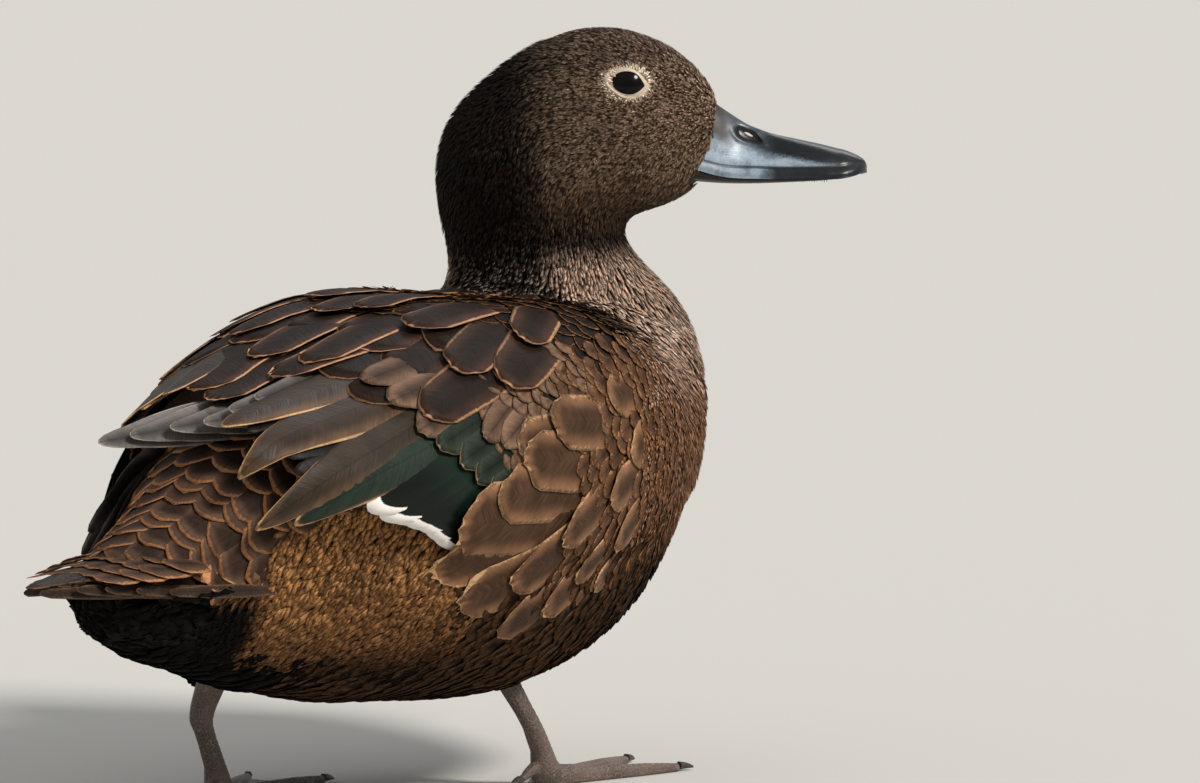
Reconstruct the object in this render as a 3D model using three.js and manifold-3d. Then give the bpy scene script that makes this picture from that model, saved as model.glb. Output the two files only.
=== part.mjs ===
// A brown teal, a small dabbling duck, life size and still. It stands in mid-step, right foot
// forward, and turns its head to its right. Millimetres: +X points ahead of the breast, +Y to the
// bird's left and +Z up. The floor is z = 0, and the origin is under the middle of the bird's box.
//
// Flesh is one smooth shape, given as a distance that is negative inside. It is meshed whole and
// parted with flat cuts into trunk, neck and head. Folded wings, tail, bill, shanks and webbed
// feet are plates, rings and tubes that meet it.
import * as THREE from "three";
import { mergeVertices } from "three/addons/utils/BufferGeometryUtils.js";
import Module from "manifold-3d";

const wasm = await Module();
wasm.setup();

// ---------- driving dimensions ----------
const GAP = 0.35; // clear space between neighbouring solids
const CUT = 0.3; // width of the flat cuts that part the flesh

const TRUNK_FRONT = 123;
const TRUNK_REAR = -107;

const HEAD_AT = new THREE.Vector3(94, -21, 173.3); // between the eyes, on the head's own middle plane
const HEAD_TURN = THREE.MathUtils.degToRad(-60);
const EYE_RADIUS = 5.2;
const EYE_OUT = 11.1; // eyeball's centre from the head's middle plane
const EYE_UP = 0.7; // and above HEAD_AT

const BILL_ROOT = 12; // ahead of the eyes, hidden in the face
const BILL_TIP = 59.5;

const TAIL_ROOT = -72;
const TAIL_TIP = -173;

const TOE_RADIUS = 2.3;
const WEB_THICKNESS = 1.4;
const SHANK_RADIUS = 2.6;

// One leg: where its hock and ankle are, and where its thigh leaves the trunk.
const LEGS = {
  left: { side: 1, hip: [-8, 28, 52], hock: [-44, 27, 33], ankle: [-29, 27, 6], yaw: -4 },
  right: { side: -1, hip: [16, -28, 50], hock: [24, -27, 32], ankle: [42, -27, 6], yaw: 4 },
};

const COLOURS = {
  plumage: { color: 0x3a2c22, roughness: 0.85, metalness: 0 },
  breast: { color: 0x5a3d28, roughness: 0.85, metalness: 0 },
  flight: { color: 0x2c2723, roughness: 0.6, metalness: 0 },
  bill: { color: 0x4c5660, roughness: 0.35, metalness: 0 },
  eye: { color: 0x120d0a, roughness: 0.05, metalness: 0 },
  foot: { color: 0x5a5650, roughness: 0.55, metalness: 0 },
  claw: { color: 0x26221f, roughness: 0.4, metalness: 0 },
};

// ---------- small tools ----------
const V = (x, y, z) => new THREE.Vector3(x, y, z);

// A smooth curve through [place, value] stations, flat past its ends.
function along(...stations) {
  const slope = stations.map((_, i) => {
    const a = stations[Math.max(i - 1, 0)];
    const b = stations[Math.min(i + 1, stations.length - 1)];
    return (b[1] - a[1]) / (b[0] - a[0]);
  });
  return (x) => {
    if (x <= stations[0][0]) return stations[0][1];
    if (x >= stations.at(-1)[0]) return stations.at(-1)[1];
    const i = stations.findIndex((s) => s[0] > x) - 1;
    const [[x0, v0], [x1, v1]] = [stations[i], stations[i + 1]];
    const h = x1 - x0;
    const t = (x - x0) / h;
    return (
      v0 * (1 + 2 * t) * (1 - t) ** 2 +
      slope[i] * h * t * (1 - t) ** 2 +
      v1 * t * t * (3 - 2 * t) -
      slope[i + 1] * h * t * t * (1 - t)
    );
  };
}

// Two distances joined with a fillet about `round` wide.
function joined(a, b, round) {
  const share = Math.max(round - Math.abs(a - b), 0) / round;
  return Math.min(a, b) - (share * share * round) / 4;
}

// Distance to a ball swept in a straight line while its radius changes.
function cone(p, [ax, ay, az, ra], [bx, by, bz, rb]) {
  const [dx, dy, dz] = [bx - ax, by - ay, bz - az];
  const dot = (p[0] - ax) * dx + (p[1] - ay) * dy + (p[2] - az) * dz;
  const t = Math.min(Math.max(dot / (dx * dx + dy * dy + dz * dz), 0), 1);
  const reach = Math.hypot(p[0] - ax - dx * t, p[1] - ay - dy * t, p[2] - az - dz * t);
  return reach - (ra + (rb - ra) * t);
}

// About the distance to an egg: half length a, half width w and half height h, round the middle.
function egg(x, y, z, a, w, h) {
  const reach = Math.hypot(x / a, y / w, z / h);
  return (reach - 1) * Math.min(w, h);
}

// ---------- the flesh ----------
const trunkAxis = along([-107, 62], [-60, 65], [0, 72], [50, 80], [95, 90], [123, 93]);
const trunkWidth = along([-107, 22], [-80, 33], [-60, 42], [-10, 53], [40, 57], [85, 61], [123, 61]);
const trunkTop = along([-107, 38], [-60, 41], [0, 46], [60, 42], [95, 36], [123, 36]);
const trunkBottom = along([-107, 26], [-60, 36], [-40, 41], [0, 47], [50, 61], [85, 72], [123, 60]);

function trunkDistance(x, y, z) {
  const middle = (TRUNK_FRONT + TRUNK_REAR) / 2;
  const up = z - trunkAxis(x);
  const height = up > 0 ? trunkTop(x) : trunkBottom(x);
  const body = egg(x - middle, y, up, (TRUNK_FRONT - TRUNK_REAR) / 2, trunkWidth(x), height);
  const vent = cone([x, y, z], [-66, 0, 60, 21], [-132, 0, 62.5, 7.5]);
  const rump = cone([x, 0.8 * y, z], [-55, 0, 84, 19], [-133, 0, 71, 5.5]);
  return joined(joined(body, vent, 14), rump, 12);
}

// The feathered top of a leg, from inside the belly to just above the hock.
function thighDistance(leg, x, y, z) {
  const end = leg.hock.map((v, i) => v + (leg.hip[i] - v) * 0.2);
  return cone([x, y, z], [...leg.hip, 16], [...end, 6.5]);
}

const headMatrix = new THREE.Matrix4().makeRotationZ(HEAD_TURN).setPosition(HEAD_AT);
const toHead = headMatrix.clone().invert();
const inWorld = (x, y, z) => V(x, y, z).applyMatrix4(headMatrix);

const headMiddle = along([-46, -12.5], [-30, -11], [-10, -8.9], [10, -9.2], [24, -10.5]);
const headHeight = along([-46, 20.5], [-10, 23], [24, 23.5]);
const headWidth = along([-46, 16.5], [-18, 18.2], [0, 17.4], [12, 15], [24, 13]);

function headDistance(x, y, z) {
  const p = V(x, y, z).applyMatrix4(toHead);
  const skull = egg(p.x + 9.2, p.y, p.z - headMiddle(p.x), 33.1, headWidth(p.x), headHeight(p.x));
  const cheek = egg(p.x + 6, p.y, p.z + 18, 22, 17.5, 12.5);
  const nape = egg(p.x + 26, p.y, p.z + 26, 20.4, 17.8, 19);
  return joined(joined(skull, cheek, 8), nape, 10);
}

// The neck's axis, bottom to top, with its radius.
const NECK = [
  [74, -3, 88, 34],
  [91, -8, 105, 26.5],
  [...inWorld(-26.3, 0, -38).toArray(), 19.6],
  [...inWorld(-25, 0, -22).toArray(), 20],
];

function neckDistance(x, y, z) {
  let found = Infinity;
  for (let i = 1; i < NECK.length; i++) found = Math.min(found, cone([x, y, z], NECK[i - 1], NECK[i]));
  return found;
}

function fleshDistance(x, y, z) {
  const upper = joined(headDistance(x, y, z), neckDistance(x, y, z), 7);
  let found = joined(upper, trunkDistance(x, y, z), 16);
  for (const leg of Object.values(LEGS)) found = joined(found, thighDistance(leg, x, y, z), 9);
  return found;
}

// ---------- meshing and joining ----------
// A closed surface round the points where distance(x, y, z) is negative, cut off flat at the box
// from low to high. Each grid cube that the surface crosses gets one vertex, and each grid edge
// that it crosses gets one four-sided face.
function skinOf(distance, low, high, cell) {
  const n = [0, 1, 2].map((a) => Math.ceil((high[a] - low[a]) / cell));
  const at = (i, j, k) => (k * (n[1] + 1) + j) * (n[0] + 1) + i;
  const value = new Float32Array((n[0] + 1) * (n[1] + 1) * (n[2] + 1));
  for (let k = 0; k <= n[2]; k++)
    for (let j = 0; j <= n[1]; j++)
      for (let i = 0; i <= n[0]; i++) {
        const rim = [i, j, k].some((v, a) => v === 0 || v === n[a]);
        const found = distance(low[0] + i * cell, low[1] + j * cell, low[2] + k * cell);
        value[at(i, j, k)] = rim ? Math.max(found, cell / 2) : found;
      }

  const corners = [0, 1, 2, 3, 4, 5, 6, 7].map((c) => [c & 1, (c >> 1) & 1, c >> 2]);
  const edges = [];
  for (let a = 0; a < 8; a++) for (const bit of [1, 2, 4]) if (!(a & bit)) edges.push([a, a | bit]);
  const positions = [];
  const vertexOf = new Map();
  for (let k = 0; k < n[2]; k++)
    for (let j = 0; j < n[1]; j++)
      for (let i = 0; i < n[0]; i++) {
        const v = corners.map(([a, b, c]) => value[at(i + a, j + b, k + c)]);
        const sum = [0, 0, 0];
        let count = 0;
        for (const [a, b] of edges) {
          if (v[a] < 0 === v[b] < 0) continue;
          const t = v[a] / (v[a] - v[b]);
          count++;
          for (let d = 0; d < 3; d++) sum[d] += corners[a][d] + (corners[b][d] - corners[a][d]) * t;
        }
        if (!count) continue;
        vertexOf.set(at(i, j, k), positions.length / 3);
        const p = sum.map((s, d) => low[d] + ([i, j, k][d] + s / count) * cell);
        positions.push(...ontoSurface(distance, p, cell));
      }

  const quads = [];
  const step = [at(1, 0, 0), at(0, 1, 0), at(0, 0, 1)];
  for (let k = 0; k < n[2]; k++)
    for (let j = 0; j < n[1]; j++)
      for (let i = 0; i < n[0]; i++)
        for (let d = 0; d < 3; d++) {
          const here = at(i, j, k);
          if ([i, j, k].some((v, a) => v === 0 && a !== d)) continue;
          const inside = value[here] < 0;
          if (inside === value[here + step[d]] < 0) continue;
          const [u, w] = [step[(d + 1) % 3], step[(d + 2) % 3]];
          const ring = [here - u - w, here - w, here, here - u].map((c) => vertexOf.get(c));
          quads.push(inside ? ring : ring.reverse());
        }
  const even = evened(distance, positions, quads, cell);
  return new THREE.BufferGeometry()
    .setAttribute("position", new THREE.Float32BufferAttribute(even, 3))
    .setIndex(quads.flatMap((q) => split(even, q)));
}

// Spaces the vertices of a mesh more evenly, keeping them on the surface.
function evened(distance, positions, quads, cell) {
  let now = positions;
  for (let turn = 0; turn < 3; turn++) {
    const sums = new Float64Array(now.length);
    const counts = new Float64Array(now.length / 3);
    for (const q of quads)
      for (let c = 0; c < 4; c++)
        for (const other of [q[(c + 1) % 4], q[(c + 3) % 4]]) {
          counts[q[c]]++;
          for (let d = 0; d < 3; d++) sums[q[c] * 3 + d] += now[other * 3 + d];
        }
    now = Array.from(counts).flatMap((count, v) => {
      const p = [0, 1, 2].map((d) => (now[v * 3 + d] + sums[v * 3 + d] / count) / 2);
      return ontoSurface(distance, p, cell);
    });
  }
  return now;
}

// Two triangles over four corners, across the shorter way.
function split(positions, [a, b, c, d]) {
  const far = (p, q) => Math.hypot(...[0, 1, 2].map((k) => positions[p * 3 + k] - positions[q * 3 + k]));
  return far(a, c) < far(b, d) ? [a, b, c, a, c, d] : [a, b, d, b, c, d];
}

// Moves a point onto the surface, by at most part of a cell.
function ontoSurface(distance, start, cell) {
  const h = 0.05;
  const p = [...start];
  for (let turn = 0; turn < 3; turn++) {
    const f = distance(...p);
    const slope = [0, 1, 2].map((d) => {
      const q = [...p];
      q[d] += h;
      return (distance(...q) - f) / h;
    });
    const steep = slope.reduce((s, g) => s + g * g, 0) || 1;
    for (let d = 0; d < 3; d++) p[d] -= (f * slope[d]) / steep;
  }
  const moved = Math.hypot(p[0] - start[0], p[1] - start[1], p[2] - start[2]);
  return moved < cell * 0.45 ? p : start;
}

function solidOf(geometry) {
  const bare = new THREE.BufferGeometry().setAttribute("position", geometry.getAttribute("position"));
  if (geometry.index) bare.setIndex(geometry.index);
  const merged = mergeVertices(bare, 1e-4);
  return new wasm.Manifold(
    new wasm.Mesh({
      numProp: 3,
      vertProperties: new Float32Array(merged.attributes.position.array),
      triVerts: new Uint32Array(merged.index.array),
    }),
  );
}

function geometryOf(solid) {
  const mesh = solid.getMesh();
  return new THREE.BufferGeometry()
    .setAttribute("position", new THREE.Float32BufferAttribute(mesh.vertProperties, 3))
    .setIndex([...mesh.triVerts]);
}

// The half of space that lies past a plane, as far as the bird reaches.
function beyond(point, normal, offset = 0) {
  const size = 600;
  const box = new THREE.BoxGeometry(size, size, size).translate(0, 0, size / 2 + offset);
  box.applyQuaternion(new THREE.Quaternion().setFromUnitVectors(V(0, 0, 1), normal.clone().normalize()));
  return solidOf(box.translate(point.x, point.y, point.z));
}

// A closed skin over rings of points, each ring a list of the same length, with flat ends.
function overRings(rings) {
  const sides = rings[0].length;
  const positions = rings.flat().flatMap((p) => [p.x, p.y, p.z]);
  const index = [];
  for (let i = 0; i + 1 < rings.length; i++)
    for (let j = 0; j < sides; j++) {
      const [a, b] = [i * sides + j, i * sides + ((j + 1) % sides)];
      index.push(a, b, b + sides, a, b + sides, a + sides);
    }
  for (const [ring, flip] of [[0, true], [rings.length - 1, false]]) {
    const middle = positions.length / 3;
    const centre = rings[ring].reduce((s, p) => s.add(p), V(0, 0, 0)).divideScalar(sides);
    positions.push(centre.x, centre.y, centre.z);
    for (let j = 0; j < sides; j++) {
      const pair = [ring * sides + j, ring * sides + ((j + 1) % sides)];
      if (flip) pair.reverse();
      index.push(middle, ...pair);
    }
  }
  return new THREE.BufferGeometry()
    .setAttribute("position", new THREE.Float32BufferAttribute(positions, 3))
    .setIndex(index);
}

// A round bar along points, with a radius at each, in `count` rings of `sides` corners.
function bar(points, radii, sides, count) {
  const curve = new THREE.CatmullRomCurve3(points);
  const radius = along(...radii.map((r, i) => [i / (radii.length - 1), r]));
  const rings = [];
  for (let i = 0; i <= count; i++) {
    const t = i / count;
    const tangent = curve.getTangent(t);
    const across = V(0, 0, 1).cross(tangent).normalize();
    const up = tangent.clone().cross(across);
    const r = radius(t);
    rings.push(
      Array.from({ length: sides }, (_, j) => {
        const angle = (j / sides) * 2 * Math.PI;
        return curve
          .getPoint(t)
          .addScaledVector(across, Math.cos(angle) * r)
          .addScaledVector(up, Math.sin(angle) * r);
      }),
    );
  }
  return overRings(rings);
}

// A plate over a middle surface at(s, t), both from 0 to 1, with thickness(s, t) across it.
function plate(at, thickness, stepsS, stepsT) {
  const rings = [];
  const h = 1e-3;
  for (let i = 0; i <= stepsS; i++) {
    const outer = [];
    const inner = [];
    for (let j = 0; j <= stepsT; j++) {
      const [s, t] = [i / stepsS, j / stepsT];
      const [s0, s1] = [Math.max(s - h, 0), Math.min(s + h, 1)];
      const [t0, t1] = [Math.max(t - h, 0), Math.min(t + h, 1)];
      const normal = at(s1, t).sub(at(s0, t)).cross(at(s, t1).sub(at(s, t0))).normalize();
      const half = thickness(s, t) / 2;
      outer.push(at(s, t).addScaledVector(normal, half));
      inner.unshift(at(s, t).addScaledVector(normal, -half));
    }
    rings.push([...outer, ...inner]);
  }
  return turnedOut(overStrips(rings));
}

// Like overRings, with ends closed by a strip of faces, because a plate's ends are long and thin.
function overStrips(rings) {
  const sides = rings[0].length;
  const geometry = overRings(rings);
  const index = [...geometry.index.array].slice(0, (rings.length - 1) * sides * 6);
  for (const [ring, flip] of [[0, true], [rings.length - 1, false]])
    for (let j = 0; j + 1 < sides / 2; j++) {
      const [a, b] = [ring * sides + j, ring * sides + j + 1];
      const [c, d] = [ring * sides + sides - 1 - j, ring * sides + sides - 2 - j];
      index.push(...(flip ? [a, c, b, b, c, d] : [a, b, c, b, d, c]));
    }
  const positions = [...geometry.getAttribute("position").array].slice(0, rings.length * sides * 3);
  return new THREE.BufferGeometry()
    .setAttribute("position", new THREE.Float32BufferAttribute(positions, 3))
    .setIndex(index);
}

// Reverses the faces of a closed surface that came out inside out.
function turnedOut(geometry) {
  if (solidOf(geometry).volume() >= 0) return geometry;
  const index = geometry.index.array;
  for (let i = 0; i < index.length; i += 3) [index[i], index[i + 1]] = [index[i + 1], index[i]];
  return geometry;
}

const group = new THREE.Group();

function add(name, geometry, finish) {
  const mesh = new THREE.Mesh(geometry, new THREE.MeshStandardMaterial(COLOURS[finish]));
  mesh.name = name;
  group.add(mesh);
}

// ---------- trunk, neck and head ----------
const LOW = [-150, -75, 5];
const HIGH = [135, 75, 205];
const neckBase = { point: V(78, 0, 119), normal: V(0.38, 0, 0.925) };
const headBase = { point: inWorld(-24, 0, -33), normal: V(0, 0, 1).add(inWorld(-0.16, 0, 0).sub(HEAD_AT)) };

const BODY_CELL = 9;
const HEAD_CELL = 5.1;
const body = solidOf(skinOf(fleshDistance, LOW, HIGH, BODY_CELL));
const swollen = (x, y, z) => fleshDistance(x, y, z) - 2 * GAP;
const bodyRoom = solidOf(skinOf(swollen, LOW, HIGH, BODY_CELL)).add(body);
const neckAndHead = solidOf(skinOf(fleshDistance, [15, -75, 80], [150, 50, 205], 6.4));
const fineHead = solidOf(skinOf(fleshDistance, [40, -75, 120], [150, 40, 200], HEAD_CELL));
const headRoom = solidOf(
  skinOf((x, y, z) => fleshDistance(x, y, z) - GAP, [40, -75, 120], [150, 40, 200], HEAD_CELL),
);

const eyes = {};
for (const [name, side] of [["left", 1], ["right", -1]]) {
  const centre = inWorld(0, side * EYE_OUT, EYE_UP);
  const ball = (radius) => new THREE.SphereGeometry(radius, 12, 9).translate(centre.x, centre.y, centre.z);
  eyes[name] = { ball: ball(EYE_RADIUS), room: solidOf(ball(EYE_RADIUS + GAP)) };
  add(`eye_${name}`, eyes[name].ball, "eye");
}

add(
  "neck",
  geometryOf(
    neckAndHead
      .intersect(beyond(neckBase.point, neckBase.normal, CUT / 2))
      .subtract(beyond(headBase.point, headBase.normal, -CUT / 2)),
  ),
  "plumage",
);
add(
  "head",
  geometryOf(
    fineHead
      .intersect(beyond(headBase.point, headBase.normal, CUT / 2))
      .subtract(eyes.left.room)
      .subtract(eyes.right.room),
  ),
  "plumage",
);

// ---------- bill ----------
// Heights and half widths of the two mandibles along the head's own forward axis.
const culmen = along(
  [12, 0],
  [21, -4.3],
  [25.3, -7.6],
  [30.4, -11],
  [35.4, -13.4],
  [43, -15.4],
  [50.6, -17],
  [57, -18.4],
  [59.5, -20.4],
);
const tomium = along(
  [12, -19.5],
  [17, -21],
  [24, -22.9],
  [34, -23.4],
  [50, -23.2],
  [57, -23.2],
  [59.5, -22.4],
);
const keel = along([12, -25], [20, -25.8], [44, -25.4], [54, -24.6], [57.5, -24]);
const billWidth = along(
  [12, 8.6],
  [20, 8.3],
  [30, 7.6],
  [42, 8],
  [52, 8.6],
  [56, 7.4],
  [58.4, 4.6],
  [59.5, 2.2],
);

// One mandible: flat along its edge line, domed from there to its crest line.
function mandible(from, to, edge, crest, width) {
  const [steps, sides] = [14, 14];
  const rings = [];
  for (let i = 0; i <= steps; i++) {
    const x = from + (to - from) * Math.sin(((i / steps) * Math.PI) / 2);
    const ring = [];
    for (let j = 0; j < sides; j++) {
      const angle = (j / sides) * 2 * Math.PI;
      const [across, up] = [Math.cos(angle), Math.sin(angle)];
      const share = up > 0 ? up ** 0.9 : -0.06 * up;
      const y = Math.sign(across) * Math.abs(across) ** 0.8 * width(x);
      ring.push(inWorld(x, y, edge(x) + (crest(x) - edge(x)) * share));
    }
    rings.push(ring);
  }
  return turnedOut(overRings(rings));
}

const upperBill = mandible(BILL_ROOT, BILL_TIP, tomium, culmen, billWidth);
const lowerBill = mandible(
  BILL_ROOT,
  BILL_TIP - 2.2,
  (x) => tomium(x) - GAP,
  keel,
  (x) => billWidth(x + 2.4) * 0.86,
);
add("bill_upper", geometryOf(solidOf(upperBill).subtract(headRoom)), "bill");
add("bill_lower", geometryOf(solidOf(lowerBill).subtract(headRoom)), "bill");

// ---------- wings ----------
// A folded wing is a curved plate that hugs the flesh. It lies between a lower and an upper edge,
// and a middle rail bulges it. Rails run from the shoulder back: the lower one to the tip of the
// longest flight feather, the upper one to the tip of the long inner feathers over the rump.
const WINGS = {
  left: {
    lower: [
      [90, 37, 76],
      [60, 52, 64],
      [20, 56, 60],
      [-20, 52, 61],
      [-60, 40, 65],
      [-90, 26, 70],
      [-112, 19, 74],
    ],
    bulge: [
      [98, 42, 92],
      [60, 66, 110],
      [20, 71, 114],
      [-20, 63, 107],
      [-60, 48, 97],
      [-84, 34, 91],
      [-72, 28, 92],
    ],
    upper: [
      [88, 28, 108],
      [60, 24, 121],
      [20, 17, 126],
      [-20, 12, 122],
      [-60, 8, 113],
      [-95, 7, 107],
      [-121, 9, 103],
    ],
  },
  right: {
    lower: [
      [90, -37, 78],
      [60, -52, 66],
      [20, -56, 63],
      [-20, -52, 66],
      [-60, -40, 72],
      [-85, -29, 78],
      [-104, -22, 82],
    ],
    bulge: [
      [98, -42, 92],
      [60, -66, 110],
      [20, -71, 114],
      [-20, -63, 108],
      [-60, -50, 100],
      [-80, -40, 96],
      [-82, -32, 94],
    ],
    upper: [
      [88, -28, 108],
      [60, -24, 121],
      [20, -17, 126],
      [-20, -12, 122],
      [-60, -9, 113],
      [-88, -10, 107],
      [-107, -13, 102],
    ],
  },
};

const CLEARANCE = 0.8; // lets flat faces stay clear where the flesh curves between their corners

// The way out of the flesh at a point.
function outward(p) {
  const h = 0.5;
  const f = (x, y, z) => fleshDistance(p.x + x, p.y + y, p.z + z);
  return V(f(h, 0, 0) - f(-h, 0, 0), f(0, h, 0) - f(0, -h, 0), f(0, 0, h) - f(0, 0, -h)).normalize();
}

function wingPlate({ lower, bulge, upper }) {
  const [low, out, up] = [lower, bulge, upper].map((r) => new THREE.CatmullRomCurve3(r.map((p) => V(...p))));
  const at = (s, t) =>
    low.getPoint(s).multiplyScalar((1 - t) ** 2)
      .addScaledVector(out.getPoint(s), 2 * t * (1 - t))
      .addScaledVector(up.getPoint(s), t * t);
  const [stepsS, stepsT] = [17, 7];
  const rings = [];
  for (let i = 0; i <= stepsS; i++) {
    const outer = [];
    const inner = [];
    for (let j = 0; j <= stepsT; j++) {
      const [s, t] = [i / stepsS, j / stepsT];
      const thick = 1 + 7 * Math.sin(Math.PI * Math.min(s + 0.02, 1)) ** 0.7 * Math.sin(Math.PI * t) ** 0.7;
      const middle = at(s, t);
      const way = outward(middle);
      const under = middle.clone().addScaledVector(way, -thick / 2);
      for (let turn = 0; turn < 4; turn++) {
        const short = GAP + CLEARANCE - fleshDistance(under.x, under.y, under.z);
        if (short > 0) under.addScaledVector(way, short);
      }
      const over = middle.addScaledVector(way, thick / 2);
      const rim = 0.9 - over.clone().sub(under).dot(way);
      if (rim > 0) over.addScaledVector(way, rim);
      outer.push(over);
      inner.unshift(under);
    }
    rings.push([...outer, ...inner]);
  }
  return turnedOut(overStrips(rings));
}

function largest(solid) {
  return solid.decompose().reduce((a, b) => (b.volume() > a.volume() ? b : a));
}

for (const [name, rails] of Object.entries(WINGS)) {
  add(`wing_${name}`, wingPlate(rails), "plumage");
}

// ---------- tail ----------
const tailHalf = along([0, 16], [0.3, 20], [0.6, 18], [0.85, 12], [1, 4]);

// The closed tail, a low roof of feathers drawn to a point; extra is added all round.
function tailPlate(extra) {
  const at = (s, t) => {
    const across = 2 * t - 1;
    const x = TAIL_ROOT + extra + (TAIL_TIP - TAIL_ROOT - 2 * extra) * s * (1 - 0.1 * across * across);
    return V(x, across * (tailHalf(s) + extra), 77 - 7 * s - (14.5 - 12 * s) * across * across);
  };
  return plate(at, (s) => 4.4 - 3.2 * s + 2 * extra, 10, 8);
}
add("tail", tailPlate(0), "flight");

// The trunk ends at the neck's cut and holds the tail's root in a slot.
const trunk = body
  .subtract(beyond(neckBase.point, neckBase.normal, -CUT / 2))
  .subtract(solidOf(tailPlate(GAP)));
add("trunk", geometryOf(largest(trunk)), "breast");

// ---------- legs ----------
// Toes fan from the ankle: name, turn from straight ahead (outwards is positive), length.
const TOES = [
  ["inner", -27, 35],
  ["middle", 0, 46],
  ["outer", 25, 43],
];
const CLAW = 4.6;

function footParts(leg) {
  const [ax, ay] = leg.ankle;
  const turn = (degrees) => THREE.MathUtils.degToRad(degrees * leg.side + leg.yaw);
  const hub = V(ax, ay, 0);
  const ahead = (degrees) => V(Math.cos(turn(degrees)), Math.sin(turn(degrees)), 0);
  const tip = (degrees, length) => hub.clone().addScaledVector(ahead(degrees), length);

  const toes = TOES.map(([, degrees, length]) => {
    const end = tip(degrees, length);
    const path = [0, 0.35, 0.7, 1].map((k) => hub.clone().lerp(end, k).setZ(TOE_RADIUS * (0.75 - 0.3 * k)));
    const radii = [1.25, 1, 0.9, 0.55].map((share) => TOE_RADIUS * share);
    return solidOf(turnedOut(bar(path, radii, 7, 6)));
  });

  const web = new THREE.Shape();
  const ends = TOES.map(([, degrees, length]) => tip(degrees, length * 0.93));
  web.moveTo(ax - 1.5, ay);
  web.lineTo(ends[0].x, ends[0].y);
  for (let i = 1; i < ends.length; i++) {
    const dip = ends[i - 1].clone().add(ends[i]).multiplyScalar(0.5).lerp(hub, 0.16);
    web.quadraticCurveTo(dip.x, dip.y, ends[i].x, ends[i].y);
  }
  web.closePath();
  const sheet = { depth: WEB_THICKNESS, bevelEnabled: false, curveSegments: 6 };
  const webSolid = solidOf(new THREE.ExtrudeGeometry(web, sheet));

  const hindFrom = V(ax - 1, ay, 7);
  const hindTip = V(ax - 9, ay - 2 * leg.side, 2.4);
  const hindPath = [0, 0.5, 1].map((k) => hindFrom.clone().lerp(hindTip, k));
  const hind = solidOf(turnedOut(bar(hindPath, [1.9, 1.6, 1.0], 8, 4)));
  const ball = solidOf(new THREE.SphereGeometry(4.1, 10, 8).translate(ax, ay, 3.6));
  return { toes, webSolid, hind, ball, tip, hindTip };
}

function clawAt(place, turn, drop) {
  const ahead = V(Math.cos(turn), Math.sin(turn), 0);
  const curve = [0, 0.5, 1].map((k) => {
    return place.clone().addScaledVector(ahead, k * CLAW).setZ(place.z - drop * k * k);
  });
  return turnedOut(bar(curve, [1.15, 0.85, 0.3], 6, 3));
}

for (const [name, leg] of Object.entries(LEGS)) {
  const hock = V(...leg.hock);
  const ankle = V(...leg.ankle);
  const down = ankle.clone().sub(hock).normalize();
  const neckOfFoot = ankle.clone().addScaledVector(down, -4.5);
  const topOfShank = hock.clone().addScaledVector(down, -1.5);

  const shank = solidOf(
    turnedOut(
      bar(
        [topOfShank, hock.clone().addScaledVector(down, 2), hock.clone().lerp(ankle, 0.5), neckOfFoot],
        [4.1, 4.3, SHANK_RADIUS, SHANK_RADIUS * 1.1],
        12,
        9,
      ),
    ),
  );
  const bareShank = shank.subtract(bodyRoom).subtract(beyond(neckOfFoot, down, -CUT / 2));
  add(`leg_${name}`, geometryOf(largest(bareShank)), "foot");

  const { toes, webSolid, hind, ball, tip, hindTip } = footParts(leg);
  const instep = solidOf(turnedOut(bar([neckOfFoot, ankle.clone().setZ(3.2)], [SHANK_RADIUS * 1.1, 3.9], 12, 3)));
  const foot = [...toes, webSolid, hind, ball]
    .reduce((a, b) => a.add(b), instep)
    .subtract(beyond(neckOfFoot, down.clone().negate(), -CUT / 2))
    .intersect(beyond(V(0, 0, 0), V(0, 0, 1)));
  const claws = TOES.map(([toe, degrees, length]) => {
    const turn = THREE.MathUtils.degToRad(degrees * leg.side + leg.yaw);
    const start = tip(degrees, length + GAP).setZ(1.5);
    return [toe, clawAt(start, turn, 0.7)];
  });
  claws.push(["hind", clawAt(hindTip.clone().add(V(-GAP - 0.2, 0, 0)), Math.PI, 0.7)]);
  add(`foot_${name}`, geometryOf(largest(foot)), "foot");
  for (const [toe, claw] of claws) add(`claw_${name}_${toe}`, claw, "claw");
}

// The origin goes under the middle of the box round the whole bird.
group.updateMatrixWorld(true);
const box = new THREE.Box3().setFromObject(group, true);
group.position.set(-(box.min.x + box.max.x) / 2, -(box.min.y + box.max.y) / 2, 0);

export default group;
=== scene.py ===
"""A brown teal, life size and standing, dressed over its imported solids.

Lengths are millimetres in the bird's own frame until a mesh is made: x forward, y to the bird's left, z up
from the ground, with x = 0 at mid trunk. Right and left are the bird's own.
"""

import copy
import math
from dataclasses import dataclass

import bmesh
import bpy
import numpy as np
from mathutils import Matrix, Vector, kdtree
from mathutils.bvhtree import BVHTree


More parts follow.
